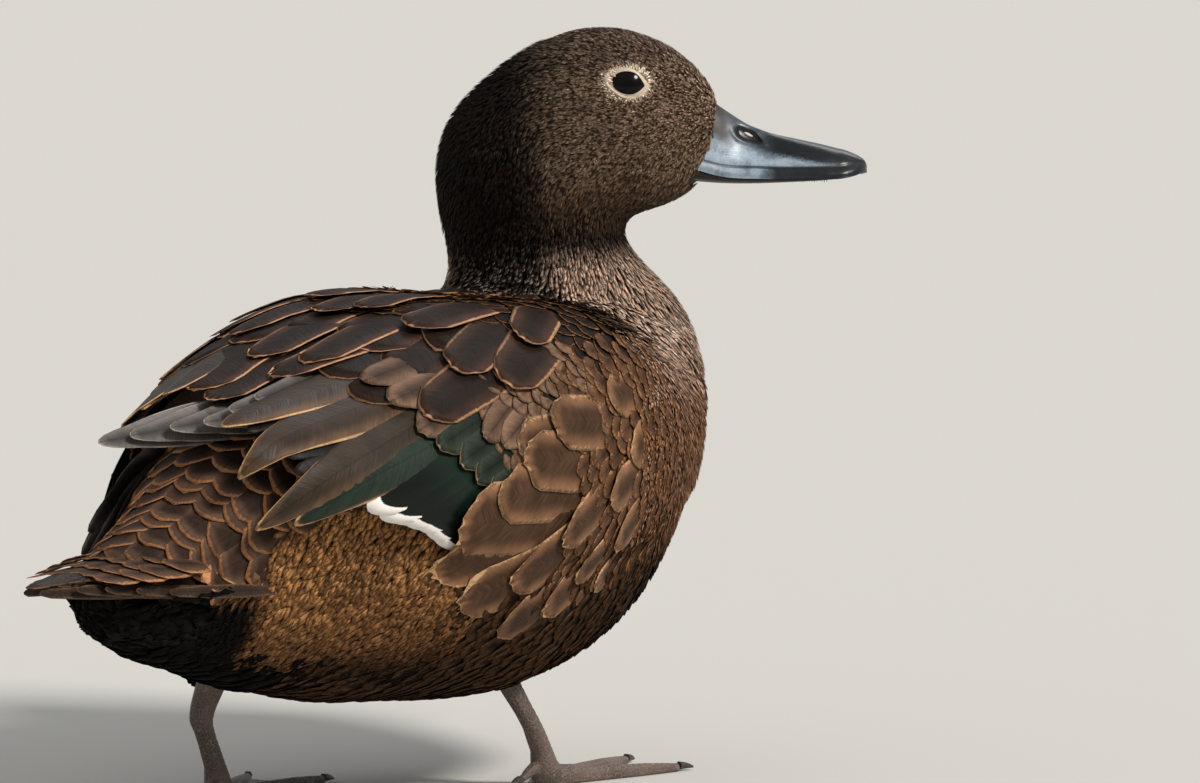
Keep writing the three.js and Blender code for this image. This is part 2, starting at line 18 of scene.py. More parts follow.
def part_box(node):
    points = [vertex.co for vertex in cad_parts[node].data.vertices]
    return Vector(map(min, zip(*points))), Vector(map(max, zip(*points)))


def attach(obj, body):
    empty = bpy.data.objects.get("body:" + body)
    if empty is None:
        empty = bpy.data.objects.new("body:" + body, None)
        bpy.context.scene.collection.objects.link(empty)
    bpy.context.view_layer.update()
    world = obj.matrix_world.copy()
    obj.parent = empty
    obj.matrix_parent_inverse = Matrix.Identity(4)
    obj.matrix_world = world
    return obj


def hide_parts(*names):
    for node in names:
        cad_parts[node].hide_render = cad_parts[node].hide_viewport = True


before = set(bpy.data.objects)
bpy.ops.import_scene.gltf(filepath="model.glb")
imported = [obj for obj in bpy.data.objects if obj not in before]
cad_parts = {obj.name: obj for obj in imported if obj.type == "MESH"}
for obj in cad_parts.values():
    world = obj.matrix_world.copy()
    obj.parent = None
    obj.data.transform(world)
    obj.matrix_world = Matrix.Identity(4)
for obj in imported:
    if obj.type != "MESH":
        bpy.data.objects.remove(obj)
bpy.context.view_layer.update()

MM = 0.001

# ---------------------------------------------------------------- the bird's frame

TAIL_TIP_X = -173.0
EYE_UP = 0.7  # eyeball centres above the head's origin

tail_low, tail_high = (np.array(corner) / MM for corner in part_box("tail"))
ORIGIN = np.array([tail_low[0] - TAIL_TIP_X, (tail_low[1] + tail_high[1]) / 2, 0.0])


def middle(node):
    """The middle of a CAD node's box, in the bird's frame."""
    low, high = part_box(node)
    return (np.array(low) + np.array(high)) / 2 / MM - ORIGIN


EYES = {side: middle(f"eye_{side}") for side in ("left", "right")}
HEAD_AT = (EYES["left"] + EYES["right"]) / 2 - [0, 0, EYE_UP]
HEAD_LEFT = (EYES["left"] - EYES["right"]) / np.linalg.norm(EYES["left"] - EYES["right"])
HEAD_AHEAD = np.array([HEAD_LEFT[1], -HEAD_LEFT[0], 0.0])
UP = np.array([0.0, 0.0, 1.0])
HEAD_AXES = np.array([HEAD_AHEAD, HEAD_LEFT, UP])


def from_head(points):
    """Points given ahead of, left of and above the head's origin."""
    return HEAD_AT + np.asarray(points, float) @ HEAD_AXES


def to_head(points):
    """The same places back in the head's axes."""
    return (points - HEAD_AT) @ HEAD_AXES.T


def unit(vectors):
    """Vectors brought to a length of 1."""
    return vectors / np.maximum(np.linalg.norm(vectors, axis=-1, keepdims=True), 1e-9)


def ease(value, start, end):
    """0 up to start, 1 from end on, smooth between; start may be the greater."""
    t = np.clip((value - start) / (end - start), 0, 1)
    return t * t * (3 - 2 * t)


def blend(share, a, b):
    """Rows of a, or of b where the share is 1."""
    share = np.asarray(share)[..., None]
    return np.asarray(a) * (1 - share) + np.asarray(b) * share


def rgb(code):
    """A colour such as "#3a2a20", as linear light."""
    parts = np.array([int(code[i:i + 2], 16) for i in (1, 3, 5)]) / 255
    return np.where(parts <= 0.04045, parts / 12.92, ((parts + 0.055) / 1.055) ** 2.4)


# ---------------------------------------------------------------- surfaces that guide the coat


WING_CUT = -38.0  # behind this the wing is feathers alone
WING_SUNK = 2.6
BODY_MIDDLE = 70.0  # height of the trunk's middle


def joined_nodes(names, swell, behind):
    """One bmesh in metres from CAD nodes, each swollen along its normals.

    Where behind is a number, wings sink towards the body's middle and lose what lies behind that x.
    """
    build = bmesh.new()
    for name in names:
        part = bmesh.new()
        part.from_mesh(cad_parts[name].data)
        bmesh.ops.remove_doubles(part, verts=part.verts, dist=1e-6)
        shortened = behind is not None and name.startswith("wing")
        if shortened:
            cut = bmesh.ops.bisect_plane(
                part,
                geom=part.verts[:] + part.edges[:] + part.faces[:],
                plane_co=((behind + ORIGIN[0]) * MM, 0, 0),
                plane_no=(-1, 0, 0),
                clear_outer=True,
            )
            rim = [e for e in cut["geom_cut"] if isinstance(e, bmesh.types.BMEdge)]
            bmesh.ops.holes_fill(part, edges=rim)
        part.normal_update()
        sunk = WING_SUNK if shortened else 0.0
        for vertex in part.verts:
            out = Vector((0, vertex.co.y - ORIGIN[1] * MM, vertex.co.z - BODY_MIDDLE * MM)).normalized()
            vertex.co += (vertex.normal * swell - out * sunk) * MM
        mesh = bpy.data.meshes.new("part")
        part.to_mesh(mesh)
        part.free()
        build.from_mesh(mesh)
        bpy.data.meshes.remove(mesh)
    return build


def fused(names, swell, voxel, rounds, behind=None):
    """Vertices and triangles of one closed skin round several nodes, which spans the gaps between them."""
    build = joined_nodes(names, swell, behind)
    mesh = bpy.data.meshes.new("fused")
    build.to_mesh(mesh)
    build.free()
    thing = bpy.data.objects.new("fused", mesh)
    bpy.context.collection.objects.link(thing)
    remesh = thing.modifiers.new("Remesh", "REMESH")
    remesh.mode = "VOXEL"
    remesh.voxel_size = voxel * MM
    result = bpy.data.meshes.new_from_object(thing.evaluated_get(bpy.context.evaluated_depsgraph_get()))
    points, triangles = mesh_arrays(result)
    bpy.data.objects.remove(thing)
    bpy.data.meshes.remove(mesh)
    bpy.data.meshes.remove(result)
    points = smoothed(points, triangles, rounds)
    return points - vertex_normals(points, triangles) * swell, triangles


def mesh_arrays(mesh):
    mesh.calc_loop_triangles()
    points = np.empty(len(mesh.vertices) * 3)
    mesh.vertices.foreach_get("co", points)
    triangles = np.empty(len(mesh.loop_triangles) * 3, int)
    mesh.loop_triangles.foreach_get("vertices", triangles)
    return points.reshape(-1, 3) / MM - ORIGIN, triangles.reshape(-1, 3)


def smoothed(points, triangles, rounds):
    """Each round is one step in and one step out, so that the shape keeps its size."""
    edges = np.concatenate([triangles[:, [0, 1]], triangles[:, [1, 2]], triangles[:, [2, 0]]])
    start, end = edges.T
    count = np.maximum(np.bincount(start, minlength=len(points)), 1)
    for step in (0.5, -0.52) * rounds:
        total = np.stack([np.bincount(start, points[end, d], len(points)) for d in range(3)], 1)
        points = points + (total / count[:, None] - points) * step
    return points


def vertex_normals(points, triangles):
    a, b, c = (points[triangles[:, i]] for i in range(3))
    face = np.cross(b - a, c - a)
    total = np.zeros_like(points)
    for corner in range(3):
        for d in range(3):
            total[:, d] += np.bincount(triangles[:, corner], face[:, d], len(points))
    return unit(total)


class Surface:
    """A closed guide surface: nearest points, rays and smooth normals."""

    def __init__(self, points, triangles):
        self.points = points
        self.triangles = triangles
        self.normals = vertex_normals(points, triangles)
        self.tree = BVHTree.FromPolygons(points.tolist(), triangles.tolist())

    def smooth_normals(self, points, faces):
        corners = self.triangles[faces]
        a, b, c = (self.points[corners[:, i]] for i in range(3))
        whole = np.cross(b - a, c - a)
        area = np.maximum((whole ** 2).sum(1), 1e-12)
        share_b = (np.cross(points - a, c - a) * whole).sum(1) / area
        share_c = (np.cross(b - a, points - a) * whole).sum(1) / area
        shares = np.stack([1 - share_b - share_c, share_b, share_c], 1)
        return unit((self.normals[corners] * shares[..., None]).sum(1))

    def nearest(self, points):
        """The surface's nearest points and its normals there, in the given array's shape."""
        flat = np.asarray(points).reshape(-1, 3)
        found = [self.tree.find_nearest(p) for p in flat.tolist()]
        near = np.array([f[0] for f in found])
        normals = self.smooth_normals(near, np.array([f[2] for f in found]))
        return near.reshape(np.shape(points)), normals.reshape(np.shape(points))

    def distances(self, origins, directions):
        """How far each ray goes before it meets the surface, or nan."""
        rays = zip(origins.reshape(-1, 3).tolist(), directions.reshape(-1, 3).tolist())
        found = [self.tree.ray_cast(Vector(o), Vector(d))[3] for o, d in rays]
        return np.array([math.nan if f is None else f for f in found]).reshape(origins.shape[:-1])


class Chart:
    """A surface unrolled round the body's long axis: how far out it lies at each place x and turn.

    A turn is in degrees from the top, towards the bird's right. Where the surface has no such place, the
    distance carries on from its neighbours, so that a feather may reach past the edge.
    """

    AXIS_X = [-173, -107, 0, 123]
    AXIS_Z = [61, 62, 72, 93]
    STEP = 2.0
    TURN_STEP = 3.0
    REACH = 95.0
    CARRY_ROUNDS = 400
    SOFTEN_ROUNDS = 2
    LEAST_RADIUS = 8
    FACING = 0.3  # how much a turn has to face another's way to be spanned from there

    def __init__(self, surface, low=-180.0, high=130.0):
        self.x = np.arange(low, high, self.STEP)
        turns = np.radians(np.arange(0, 360, self.TURN_STEP))
        outward = np.stack([np.zeros_like(turns), -np.sin(turns), np.cos(turns)], 1)
        axis = np.stack([self.x, np.zeros_like(self.x), self.axis(self.x)], 1)
        origins = axis[:, None] + outward[None] * self.REACH
        found = self.REACH - surface.distances(origins, np.broadcast_to(-outward, origins.shape))
        self.distance = self.carried_on(found)

    def axis(self, x):
        return np.interp(x, self.AXIS_X, self.AXIS_Z)

    @staticmethod
    def around(value):
        """The sum of each place's four neighbours."""
        padded = np.pad(value, ((1, 1), (0, 0)), "edge")
        return padded[2:] + padded[:-2] + np.roll(value, 1, 1) + np.roll(value, -1, 1)

    def carried_on(self, found):
        """Distances with the missing ones filled from their neighbours, and all a little softened."""
        known = ~np.isnan(found)
        value = np.where(known, found, np.nanmean(found))
        for _ in range(self.CARRY_ROUNDS):
            value = np.where(known, found, self.around(value) / 4)
        for _ in range(self.SOFTEN_ROUNDS):
            value = value / 2 + self.around(value) / 8
        return value

    def radius(self, x, turn):
        row = np.clip((x - self.x[0]) / self.STEP, 0, len(self.x) - 1.001)
        column = np.asarray(turn) / self.TURN_STEP
        i, j = np.floor(row).astype(int), np.floor(column).astype(int)
        s, t = row - i, column - j
        wrap = self.distance.shape[1]
        near = self.distance[i, j % wrap] * (1 - t) + self.distance[i, (j + 1) % wrap] * t
        far = self.distance[i + 1, j % wrap] * (1 - t) + self.distance[i + 1, (j + 1) % wrap] * t
        return near * (1 - s) + far * s

    def at(self, x, turn):
        radius = self.radius(x, turn)
        angle = np.radians(turn)
        return np.stack([x, -np.sin(angle) * radius, self.axis(x) + np.cos(angle) * radius], -1)

    def normal(self, x, turn):
        along = self.at(x + 1.5, turn) - self.at(x - 1.5, turn)
        round_ = self.at(x, turn + 2) - self.at(x, turn - 2)
        return unit(np.cross(round_, along))

    def scale(self, x, turn):
        """Millimetres to one degree of turn."""
        return np.maximum(self.radius(x, turn), self.LEAST_RADIUS) * math.pi / 180

    def bridged(self):
        """The same surface with the hollows of its upper side spanned, as feathers span them."""
        turns = np.radians(np.arange(0, 360, self.TURN_STEP))
        ways = np.stack([np.sin(turns), np.cos(turns)], 1)
        reach = (self.distance[..., None] * ways @ ways.T).max(1)
        facing = np.cos(turns[:, None] - turns[None])
        span = reach[:, None] / np.maximum(facing, self.FACING)
        bound = np.where(facing > self.FACING, span, math.inf).min(2)
        from_top = np.degrees(np.abs((turns + math.pi) % (2 * math.pi) - math.pi))
        found = copy.copy(self)
        found.distance = self.distance + (bound - self.distance) * ease(from_top, 80, 62)
        return found


def settled(points):
    """The flesh with a lower rump and a shorter tail, where the feathers alone make the outline."""
    x, z = points[:, 0], points[:, 2]
    drop = 3.6 * ease(x, -80, -102) * ease(x, -152, -138) * ease(z, 64, 74)
    shorter = np.maximum(-120 - x, 0) * 0.2
    return points + np.stack([shorter, 0 * x, -drop], 1)


FLESH = ("trunk", "neck", "head")
WINGS = ("wing_left", "wing_right")
EYEBALLS = ("eye_left", "eye_right")

whole = Surface(*fused(FLESH + WINGS + EYEBALLS, swell=1.0, voxel=1.4, rounds=4))
torso_chart = Chart(Surface(*fused(("trunk",) + WINGS, swell=1.0, voxel=1.8, rounds=5)))
wing_chart = Chart(Surface(*fused(WINGS, swell=0.6, voxel=1.4, rounds=4)))
rump_points, rump_triangles = fused(("trunk", "tail"), swell=0.8, voxel=1.4, rounds=4)
rump_surface = Surface(settled(rump_points), rump_triangles)
rump_chart = Chart(rump_surface)
back_chart = torso_chart.bridged()
tail_surface = Surface(*fused(("tail",), swell=0.3, voxel=0.9, rounds=3))

# ---------------------------------------------------------------- feathers


@dataclass
class Form:
    """How one kind of feather is shaped.

    rows and columns count its grid's points. tip is the length of the rounded end and camber the height of
    its arch, in widths; taper is the width lost by the end; narrow is the root's width, as a share; fray is
    how far the end is torn and bend how far it curves aside, in lengths. root and end are heights above the
    guide surface, and a low rise brings the feather up sooner. slant is how much sooner the end comes on one
    side, in widths. Without a thickness the vane is a thin lens with a keel below; with one it is a plate of
    that thickness. Without a keel too, its underside is flat: for the smallest tufts.
    """

    rows: int
    columns: int
    tip: float = 0.55
    taper: float = 0.0
    narrow: float = 0.5
    fray: float = 0.0
    root: float = -1.0
    end: float = 0.4
    rise: float = 1.0
    camber: float = 0.08
    bend: float = 0.0
    thickness: float | None = None
    keel: bool = True
    slant: float = 0.0

    def grid(self, length, width, rng):
        """Shares of length and half width, then places along and across, half widths and whole lengths."""
        u = np.linspace(0, 1, self.rows)[None, :, None]
        v = np.linspace(-1, 1, self.columns)[None, None, :]
        length = length[:, None, None]
        width = width[:, None, None]
        ending = np.minimum(self.tip * width / length, 0.6) * np.abs(v) ** 2.2
        torn = rng.uniform(-1, 1, (len(length), 1, self.columns)) * self.fray
        line = length * (1 - ending + torn) - self.slant * width * v / 2
        along = line * u
        along = along - length * ending * u * (u - 1) * 0.4
        opening = self.narrow + (1 - self.narrow) * np.sin(np.minimum(u / 0.55, 1) * math.pi / 2)
        half = width / 2 * opening * (1 - self.taper * u ** 2.5)
        half = np.broadcast_to(half, along.shape)
        return u, v, along, half * v, half, np.broadcast_to(line, along.shape)

    def heights(self, share, v, width):
        lift = self.root + (self.end - self.root) * share ** self.rise
        return lift + self.camber * width[:, None, None] * (1 - v ** 2)

    def faces(self):
        """One feather's faces as lists of points, and which of them are its upper side."""
        last = self.columns - 1
        at = [[i * self.columns + j for j in range(self.columns)] for i in range(self.rows)]
        top = [
            [at[i][j], at[i + 1][j], at[i + 1][j + 1], at[i][j + 1]]
            for i in range(self.rows - 1)
            for j in range(last)
        ]
        if not self.keel:
            under = [[at[i + 1][0], at[i][0], at[i][last], at[i + 1][last]] for i in range(self.rows - 1)]
            under += [at[0], at[-1][::-1]]
        elif self.thickness is None:
            keel = [self.rows * self.columns + i for i in range(self.rows)]
            under = [[at[i + 1][0], at[i][0], keel[i], keel[i + 1]] for i in range(self.rows - 1)]
            under += [[keel[i + 1], keel[i], at[i][last], at[i + 1][last]] for i in range(self.rows - 1)]
            under += [at[0] + [keel[0]], at[-1][::-1] + [keel[-1]]]
        else:
            below = self.rows * self.columns
            under = [[below + p for p in face[::-1]] for face in top]
            ring = at[0][:-1] + [row[-1] for row in at[:-1]] + at[-1][:0:-1] + [row[0] for row in at[:0:-1]]
            for here, after in zip(ring, ring[1:] + ring[:1]):
                under.append([here, after, below + after, below + here])
        return top + under, [True] * len(top) + [False] * len(under)


FAR = 9.0  # further from a feather's edge than any of its colour reaches
KEEL_DEPTH = 0.1  # how far a feather without thickness goes down below its edges
TONE_VARIETY = 0.12


@dataclass
class Ink:
    """Colours and marks of a set of feathers: one row each, or one value for all.

    width is how far the edge's colour reaches in and bristle how ragged it ends; gloss is the share of green
    and shaft the darkness of the shaft. sides says where the edge's colour runs besides the tip: 0 for both
    sides, 1 or -1 for one, None for neither.
    """

    centre: np.ndarray
    edge: np.ndarray
    width: float = 1.0
    bristle: float = 0.3
    gloss: float = 0.0
    shaft: float = 0.3
    sides: int | None = 0

    def reach(self, half, across):
        """How far places lie from the coloured sides."""
        if self.sides is None:
            return np.full_like(across, FAR)
        if self.sides == 0:
            return half - np.abs(across)
        return half - self.sides * across

    def rows(self, count, rng):
        """Each feather's colours, marks and shaft, a little lighter or darker from one to the next."""
        tone = rng.uniform(1 - TONE_VARIETY, 1 + TONE_VARIETY, (count, 1))
        centre = np.broadcast_to(self.centre, (count, 3)) * tone
        edge = np.broadcast_to(self.edge, (count, 3)) * (tone + 1) / 2
        parts = [np.broadcast_to(part, count) for part in (self.width, self.bristle, self.gloss)]
        return centre, edge, np.stack(parts, 1), np.broadcast_to(self.shaft, count)


class Coat:
    """Feathers gathered into one piece."""

    PATCH = 0.003  # a tuft's share of the OFBake map
    PLACES = 36  # the most large feathers in one piece
    worn = []  # places on all feathers, with their colours

    def __init__(self, seed):
        self.rng = np.random.default_rng(seed)
        self.points, self.loops, self.totals, self.smooth = [], [], [], []
        self.fields = {"rim": [], "spot": [], "look": [], "ink": [], "trim": [], "shaft": []}
        self.bake = []
        self.count = 0
        self.placed = 0

    def add(self, lay, length, width, form, ink, spread):
        """Adds a set of feathers, a length and a width each.

        lay gives surface points and normals for places along and across. spread is each root's place on the
        piece's OFBake map, 0 to 1 both ways, and the size of its patch there.
        """
        count = len(length)
        u, v, along, across, half, line = form.grid(length, width, self.rng)
        run = length[:, None, None]
        ground, normals = lay(along, across + form.bend * along ** 2 / run)
        points = ground + normals * form.heights(along / run, v, width)[..., None]
        seed = self.rng.uniform(0, 1, (count, 1, 1))
        centre, edge, look, shaft = ink.rows(count, self.rng)
        u, v, seed = (np.broadcast_to(part, along.shape) for part in (u, v, seed))
        fields = {
            "rim": np.stack([ink.reach(half, across), line - along, v], -1),
            "spot": np.stack([across, along, seed], -1),
            "look": np.broadcast_to(look[:, None, None], along.shape + (3,)),
            "ink": np.broadcast_to(centre[:, None, None], along.shape + (3,)),
            "trim": np.broadcast_to(edge[:, None, None], along.shape + (3,)),
            "shaft": np.broadcast_to(shaft[:, None, None, None], along.shape + (1,)),
        }
        place, size = spread
        patch = place[:, None, None] + np.stack([v / 2, u], -1) * size
        plate = form.thickness is not None
        keel = slice(form.columns // 2, form.columns // 2 + 1) if form.keel else slice(0, 0)
        below = slice(None) if plate else keel
        depth = form.thickness if plate else form.camber * width[:, None, None, None] + KEEL_DEPTH
        under = points[:, :, below] - normals[:, :, below] * depth
        stacked = np.concatenate([points.reshape(count, -1, 3), under.reshape(count, -1, 3)], 1)
        for name, value in fields.items():
            both = [part.reshape(count, -1, value.shape[-1]) for part in (value, value[:, :, below])]
            self.fields[name].append(np.concatenate(both, 1).reshape(-1, value.shape[-1]))
        faces, upper = form.faces()
        loops = np.array([point for face in faces for point in face])
        self.points.append(stacked.reshape(-1, 3))
        self.loops.append((self.count + np.arange(count)[:, None] * stacked.shape[1] + loops).ravel())
        self.totals.append(np.tile([len(face) for face in faces], count))
        self.smooth.append(np.tile([True] * len(faces) if plate else upper, count))
        shown = np.array([flag for face, flag in zip(faces, upper) for _ in face])[None, :, None]
        patch = patch.reshape(count, -1, 2)
        hidden = patch[:, None, form.columns + form.columns // 2]
        corners = patch[:, loops % (form.rows * form.columns)]
        self.bake.append(np.where(shown, corners, hidden).reshape(-1, 2))
        self.count += stacked.shape[0] * stacked.shape[1]
        trimmed = np.clip(1.2 - fields["rim"][..., 1] / look[:, None, None, 0], 0, 1)
        colour = blend(trimmed, fields["ink"], fields["trim"])
        self.worn.append([part[:, 1::2, ::3].reshape(-1, 3) for part in (points, colour)])

    def finish(self, name, material, slot="plumage"):
        """Makes one object of all the feathers added so far."""
        mesh = bpy.data.meshes.new(name)
        points = (np.concatenate(self.points) + ORIGIN) * MM
        loops = np.concatenate(self.loops)
        totals = np.concatenate(self.totals)
        mesh.vertices.add(len(points))
        mesh.vertices.foreach_set("co", points.ravel())
        mesh.loops.add(len(loops))
        mesh.loops.foreach_set("vertex_index", loops)
        mesh.polygons.add(len(totals))
        mesh.polygons.foreach_set("loop_start", np.concatenate([[0], np.cumsum(totals)[:-1]]))
        mesh.update(calc_edges=True)
        mesh.polygons.foreach_set("use_smooth", np.concatenate(self.smooth))
        for field, values in self.fields.items():
            write_field(mesh, field, np.concatenate(values))
        uv = mesh.uv_layers.new(name="OFBake")
        uv.data.foreach_set("uv", np.concatenate(self.bake).ravel())
        piece(name, mesh, material)


def write_field(mesh, name, values):
    """One number or one vector for each of a mesh's points."""
    kind, key = ("FLOAT", "value") if values.shape[1] == 1 else ("FLOAT_VECTOR", "vector")
    mesh.attributes.new(name, kind, "POINT").data.foreach_set(key, values.ravel())


def plain_mesh(name, points, faces, smooth=True):
    """A mesh over points in the bird's frame."""
    mesh = bpy.data.meshes.new(name)
    mesh.from_pydata(((points + ORIGIN) * MM).tolist(), [], faces)
    mesh.polygons.foreach_set("use_smooth", [smooth] * len(faces))
    return mesh


def piece(name, mesh, material, body="root"):
    """One of the bird's objects, in its material's slot and on its body."""
    thing = bpy.data.objects.new(name, mesh)
    bpy.context.collection.objects.link(thing)
    mesh.materials.append(material)
    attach(thing, body)
    return thing


def on_chart(chart, root, tip):
    """How to lay feathers from root to tip, both (x, turn), and their lengths."""
    scale = chart.scale((root[:, 0] + tip[:, 0]) / 2, (root[:, 1] + tip[:, 1]) / 2)
    run = np.stack([tip[:, 0] - root[:, 0], (tip[:, 1] - root[:, 1]) * scale], 1)
    length = np.linalg.norm(run, axis=1)
    ahead = run / length[:, None]

    def lay(along, across):
        dx, dy = (ahead[:, d, None, None] for d in (0, 1))
        x = root[:, 0, None, None] + dx * along + dy * across
        turn = root[:, 1, None, None] + (dy * along - dx * across) / scale[:, None, None]
        return chart.at(x, turn), chart.normal(x, turn)

    return lay, length


def on_surface(surface, root, ahead):
    """How to lay feathers from their roots in the directions ahead."""
    near, normal = surface.nearest(root)
    ahead = unit(ahead - normal * (ahead * normal).sum(1, keepdims=True))
    side = np.cross(normal, ahead)

    def lay(along, across):
        flat = near[:, None, None] + ahead[:, None, None] * along[..., None]
        return surface.nearest(flat + side[:, None, None] * across[..., None])

    return lay


TRIES = 4  # places tried for each that is kept, roughly


def scattered(surface, wanted, spacing, seed):
    """Places spread over part of a surface, none nearer its neighbours than the spacing there."""
    rng = np.random.default_rng(seed)
    corners = surface.points[surface.triangles]
    centre = corners.mean(1)
    area = np.linalg.norm(np.cross(corners[:, 1] - corners[:, 0], corners[:, 2] - corners[:, 0]), axis=1) / 2
    weight = np.where(wanted(centre), area / spacing(centre) ** 2, 0)
    count = int(weight.sum() * TRIES)
    chosen = rng.choice(len(weight), count, p=weight / weight.sum())
    a, b = rng.uniform(0, 1, (2, count, 1))
    a, b = np.where(a + b > 1, 1 - a, a), np.where(a + b > 1, 1 - b, b)
    spots = corners[chosen, 0] * (1 - a - b) + corners[chosen, 1] * a + corners[chosen, 2] * b
    reach = spacing(spots)
    tree = kdtree.KDTree(count)
    for i, spot in enumerate(spots.tolist()):
        tree.insert(spot, i)
    tree.balance()
    free = [True] * count
    kept = []
    for i, (spot, r) in enumerate(zip(spots.tolist(), reach.tolist())):
        if free[i]:
            kept.append(i)
            for _, j, _ in tree.find_range(spot, r):
                free[j] = False
    return spots[kept]


# ---------------------------------------------------------------- materials


class Looks:
    """A material's nodes, with short names for the kinds that the bird uses."""

    def __init__(self, name, **constants):
        self.material = bpy.data.materials.new(name)
        self.material.use_nodes = True
        self.nodes = self.material.node_tree.nodes
        self.links = self.material.node_tree.links
        self.shader = self.nodes["Principled BSDF"]
        for socket, value in constants.items():
            self.shader.inputs[socket.replace("_", " ")].default_value = value

    def put(self, value, socket):
        """Links another node's output to a socket, or sets its value."""
        if isinstance(value, bpy.types.NodeSocket):
            self.links.new(value, socket)
        elif socket.type == "RGBA":
            socket.default_value = (*value, 1.0)
        else:
            socket.default_value = value

    def node(self, kind, inputs=(), output=0, **settings):
        node = self.nodes.new(kind)
        for name, value in settings.items():
            setattr(node, name, value)
        for key, value in dict(inputs).items():
            self.put(value, node.inputs[key])
        return node.outputs[output]

    def field(self, name, output="Vector"):
        return self.node("ShaderNodeAttribute", output=output, attribute_name=name)

    def parts(self, vector):
        node = self.nodes.new("ShaderNodeSeparateXYZ")
        self.links.new(vector, node.inputs[0])
        return node.outputs[0], node.outputs[1], node.outputs[2]

    def vector(self, x, y, z):
        return self.node("ShaderNodeCombineXYZ", {0: x, 1: y, 2: z})

    def place(self):
        """The piece's own coordinates, in millimetres."""
        return self.lit(self.node("ShaderNodeTexCoord", output="Object"), 1 / MM)

    def math(self, operation, a, b=0.0, c=0.0):
        return self.node("ShaderNodeMath", {0: a, 1: b, 2: c}, operation=operation)

    def times(self, a, b, plus=None):
        """a times b, and something on top where it is given."""
        return self.math("MULTIPLY", a, b) if plus is None else self.math("MULTIPLY_ADD", a, b, plus)

    def noise(self, vector, scale, detail, roughness=0.5):
        inputs = {"Vector": vector, "Scale": scale, "Detail": detail, "Roughness": roughness}
        return self.node("ShaderNodeTexNoise", inputs)

    def cells(self, vector, scale):
        """How far places lie from the borders of a net of cells."""
        inputs = {"Vector": vector, "Scale": scale}
        return self.node("ShaderNodeTexVoronoi", inputs, "Distance", feature="DISTANCE_TO_EDGE")

    def band(self, value, start, end, low=0.0, high=1.0):
        """low up to start and high from end on, smooth between."""
        inputs = {0: value, 1: start, 2: end, 3: low, 4: high}
        return self.node("ShaderNodeMapRange", inputs, interpolation_type="SMOOTHSTEP")

    def mix(self, share, a, b):
        """a, or b where the share is 1."""
        node = self.nodes.new("ShaderNodeMix")
        node.data_type = "RGBA"
        self.put(share, node.inputs[0])
        for value, socket in ((a, node.inputs[6]), (b, node.inputs[7])):
            self.put(value, socket)
        return node.outputs[2]

    def lit(self, colour, share):
        """A colour, or any vector, times a factor."""
        return self.node("ShaderNodeVectorMath", {0: colour, 3: share}, operation="SCALE")

    def finish(self, colour, roughness=None, height=None, strength=0.5, distance=0.1):
        """Sets the shader's colour, and roughness and relief in millimetres where they vary."""
        self.put(colour, self.shader.inputs["Base Color"])
        if roughness is not None:
            self.put(roughness, self.shader.inputs["Roughness"])
        if height is not None:
            inputs = {"Strength": strength, "Distance": distance * MM, "Height": height}
            self.put(self.node("ShaderNodeBump", inputs), self.shader.inputs["Normal"])
        return self.material


GLOSS_GREEN = rgb("#15291f")
BARB_SLANT = -0.9  # a barb runs 0.9 mm towards the tip for each millimetre out from the shaft
APART = 90.0  # shifts each feather's pattern away from every other's


def vane_material(name, roughness, barbs, specular):
    """A feather's centre and edge colours, barbs that slant off its shaft, and its green gloss."""
    looks = Looks(name, Specular_IOR_Level=specular)
    side, end, _ = looks.parts(looks.field("rim"))
    across, ahead, seed = looks.parts(looks.field("spot"))
    width, bristle, gloss = looks.parts(looks.field("look"))
    offset = looks.times(seed, APART)
    spread = looks.math("ABSOLUTE", across)
    slant = looks.times(spread, BARB_SLANT, ahead)
    lane = looks.times(across, 0.1)
    coarse = looks.band(looks.noise(looks.vector(slant, lane, offset), 0.95, 3.0), 0.3, 0.7)
    fine = looks.band(looks.noise(looks.vector(slant, lane, offset), 4.2, 2.0), 0.25, 0.75)
    blotch = looks.band(looks.noise(looks.vector(across, ahead, offset), 0.16, 2.0), 0.3, 0.7)
    reach = looks.math("MINIMUM", side, end)
    torn = looks.times(looks.math("SUBTRACT", coarse, 0.5), 1.4, looks.math("SUBTRACT", fine, 0.5))
    depth = looks.times(torn, bristle, reach)
    inner = looks.math("DIVIDE", depth, width)
    centre = looks.lit(looks.field("ink"), looks.band(depth, 0.8, 5.0, 1.9, 0.5))
    colour = looks.mix(looks.band(inner, 0.6, 1.3), looks.field("trim"), centre)
    green = looks.times(gloss, looks.band(inner, 1.0, 2.2))
    colour = looks.mix(green, colour, GLOSS_GREEN)
    streak = looks.times(coarse, 0.7 * barbs, 1 - 0.35 * barbs)
    streak = looks.times(streak, looks.times(fine, 0.8 * barbs, 1 - 0.4 * barbs))
    streak = looks.times(streak, looks.times(blotch, 0.35, 0.82))
    colour = looks.lit(colour, streak)
    rib = looks.times(looks.band(spread, 0.35, 0.15), looks.field("shaft", "Fac"))
    colour = looks.mix(rib, colour, looks.lit(colour, 0.35))
    height = looks.times(fine, 0.7, coarse)
    rough = looks.times(coarse, 0.15, roughness - 0.08)
    return looks.finish(colour, rough, height, 0.7, 0.06)


def curve(stations, x):
    """A smooth curve through (x, value) stations."""
    xs, ys = np.array(stations, float).T
    slopes = np.gradient(ys, xs)
    i = np.clip(np.searchsorted(xs, x) - 1, 0, len(xs) - 2)
    h = xs[i + 1] - xs[i]
    t = np.clip((x - xs[i]) / h, 0, 1)
    ends = ys[i] * (1 + 2 * t) * (1 - t) ** 2 + ys[i + 1] * t ** 2 * (3 - 2 * t)
    return ends + h * t * (1 - t) * (slopes[i] * (1 - t) - slopes[i + 1] * t)


# ---------------------------------------------------------------- the bill's outline, in the head's axes

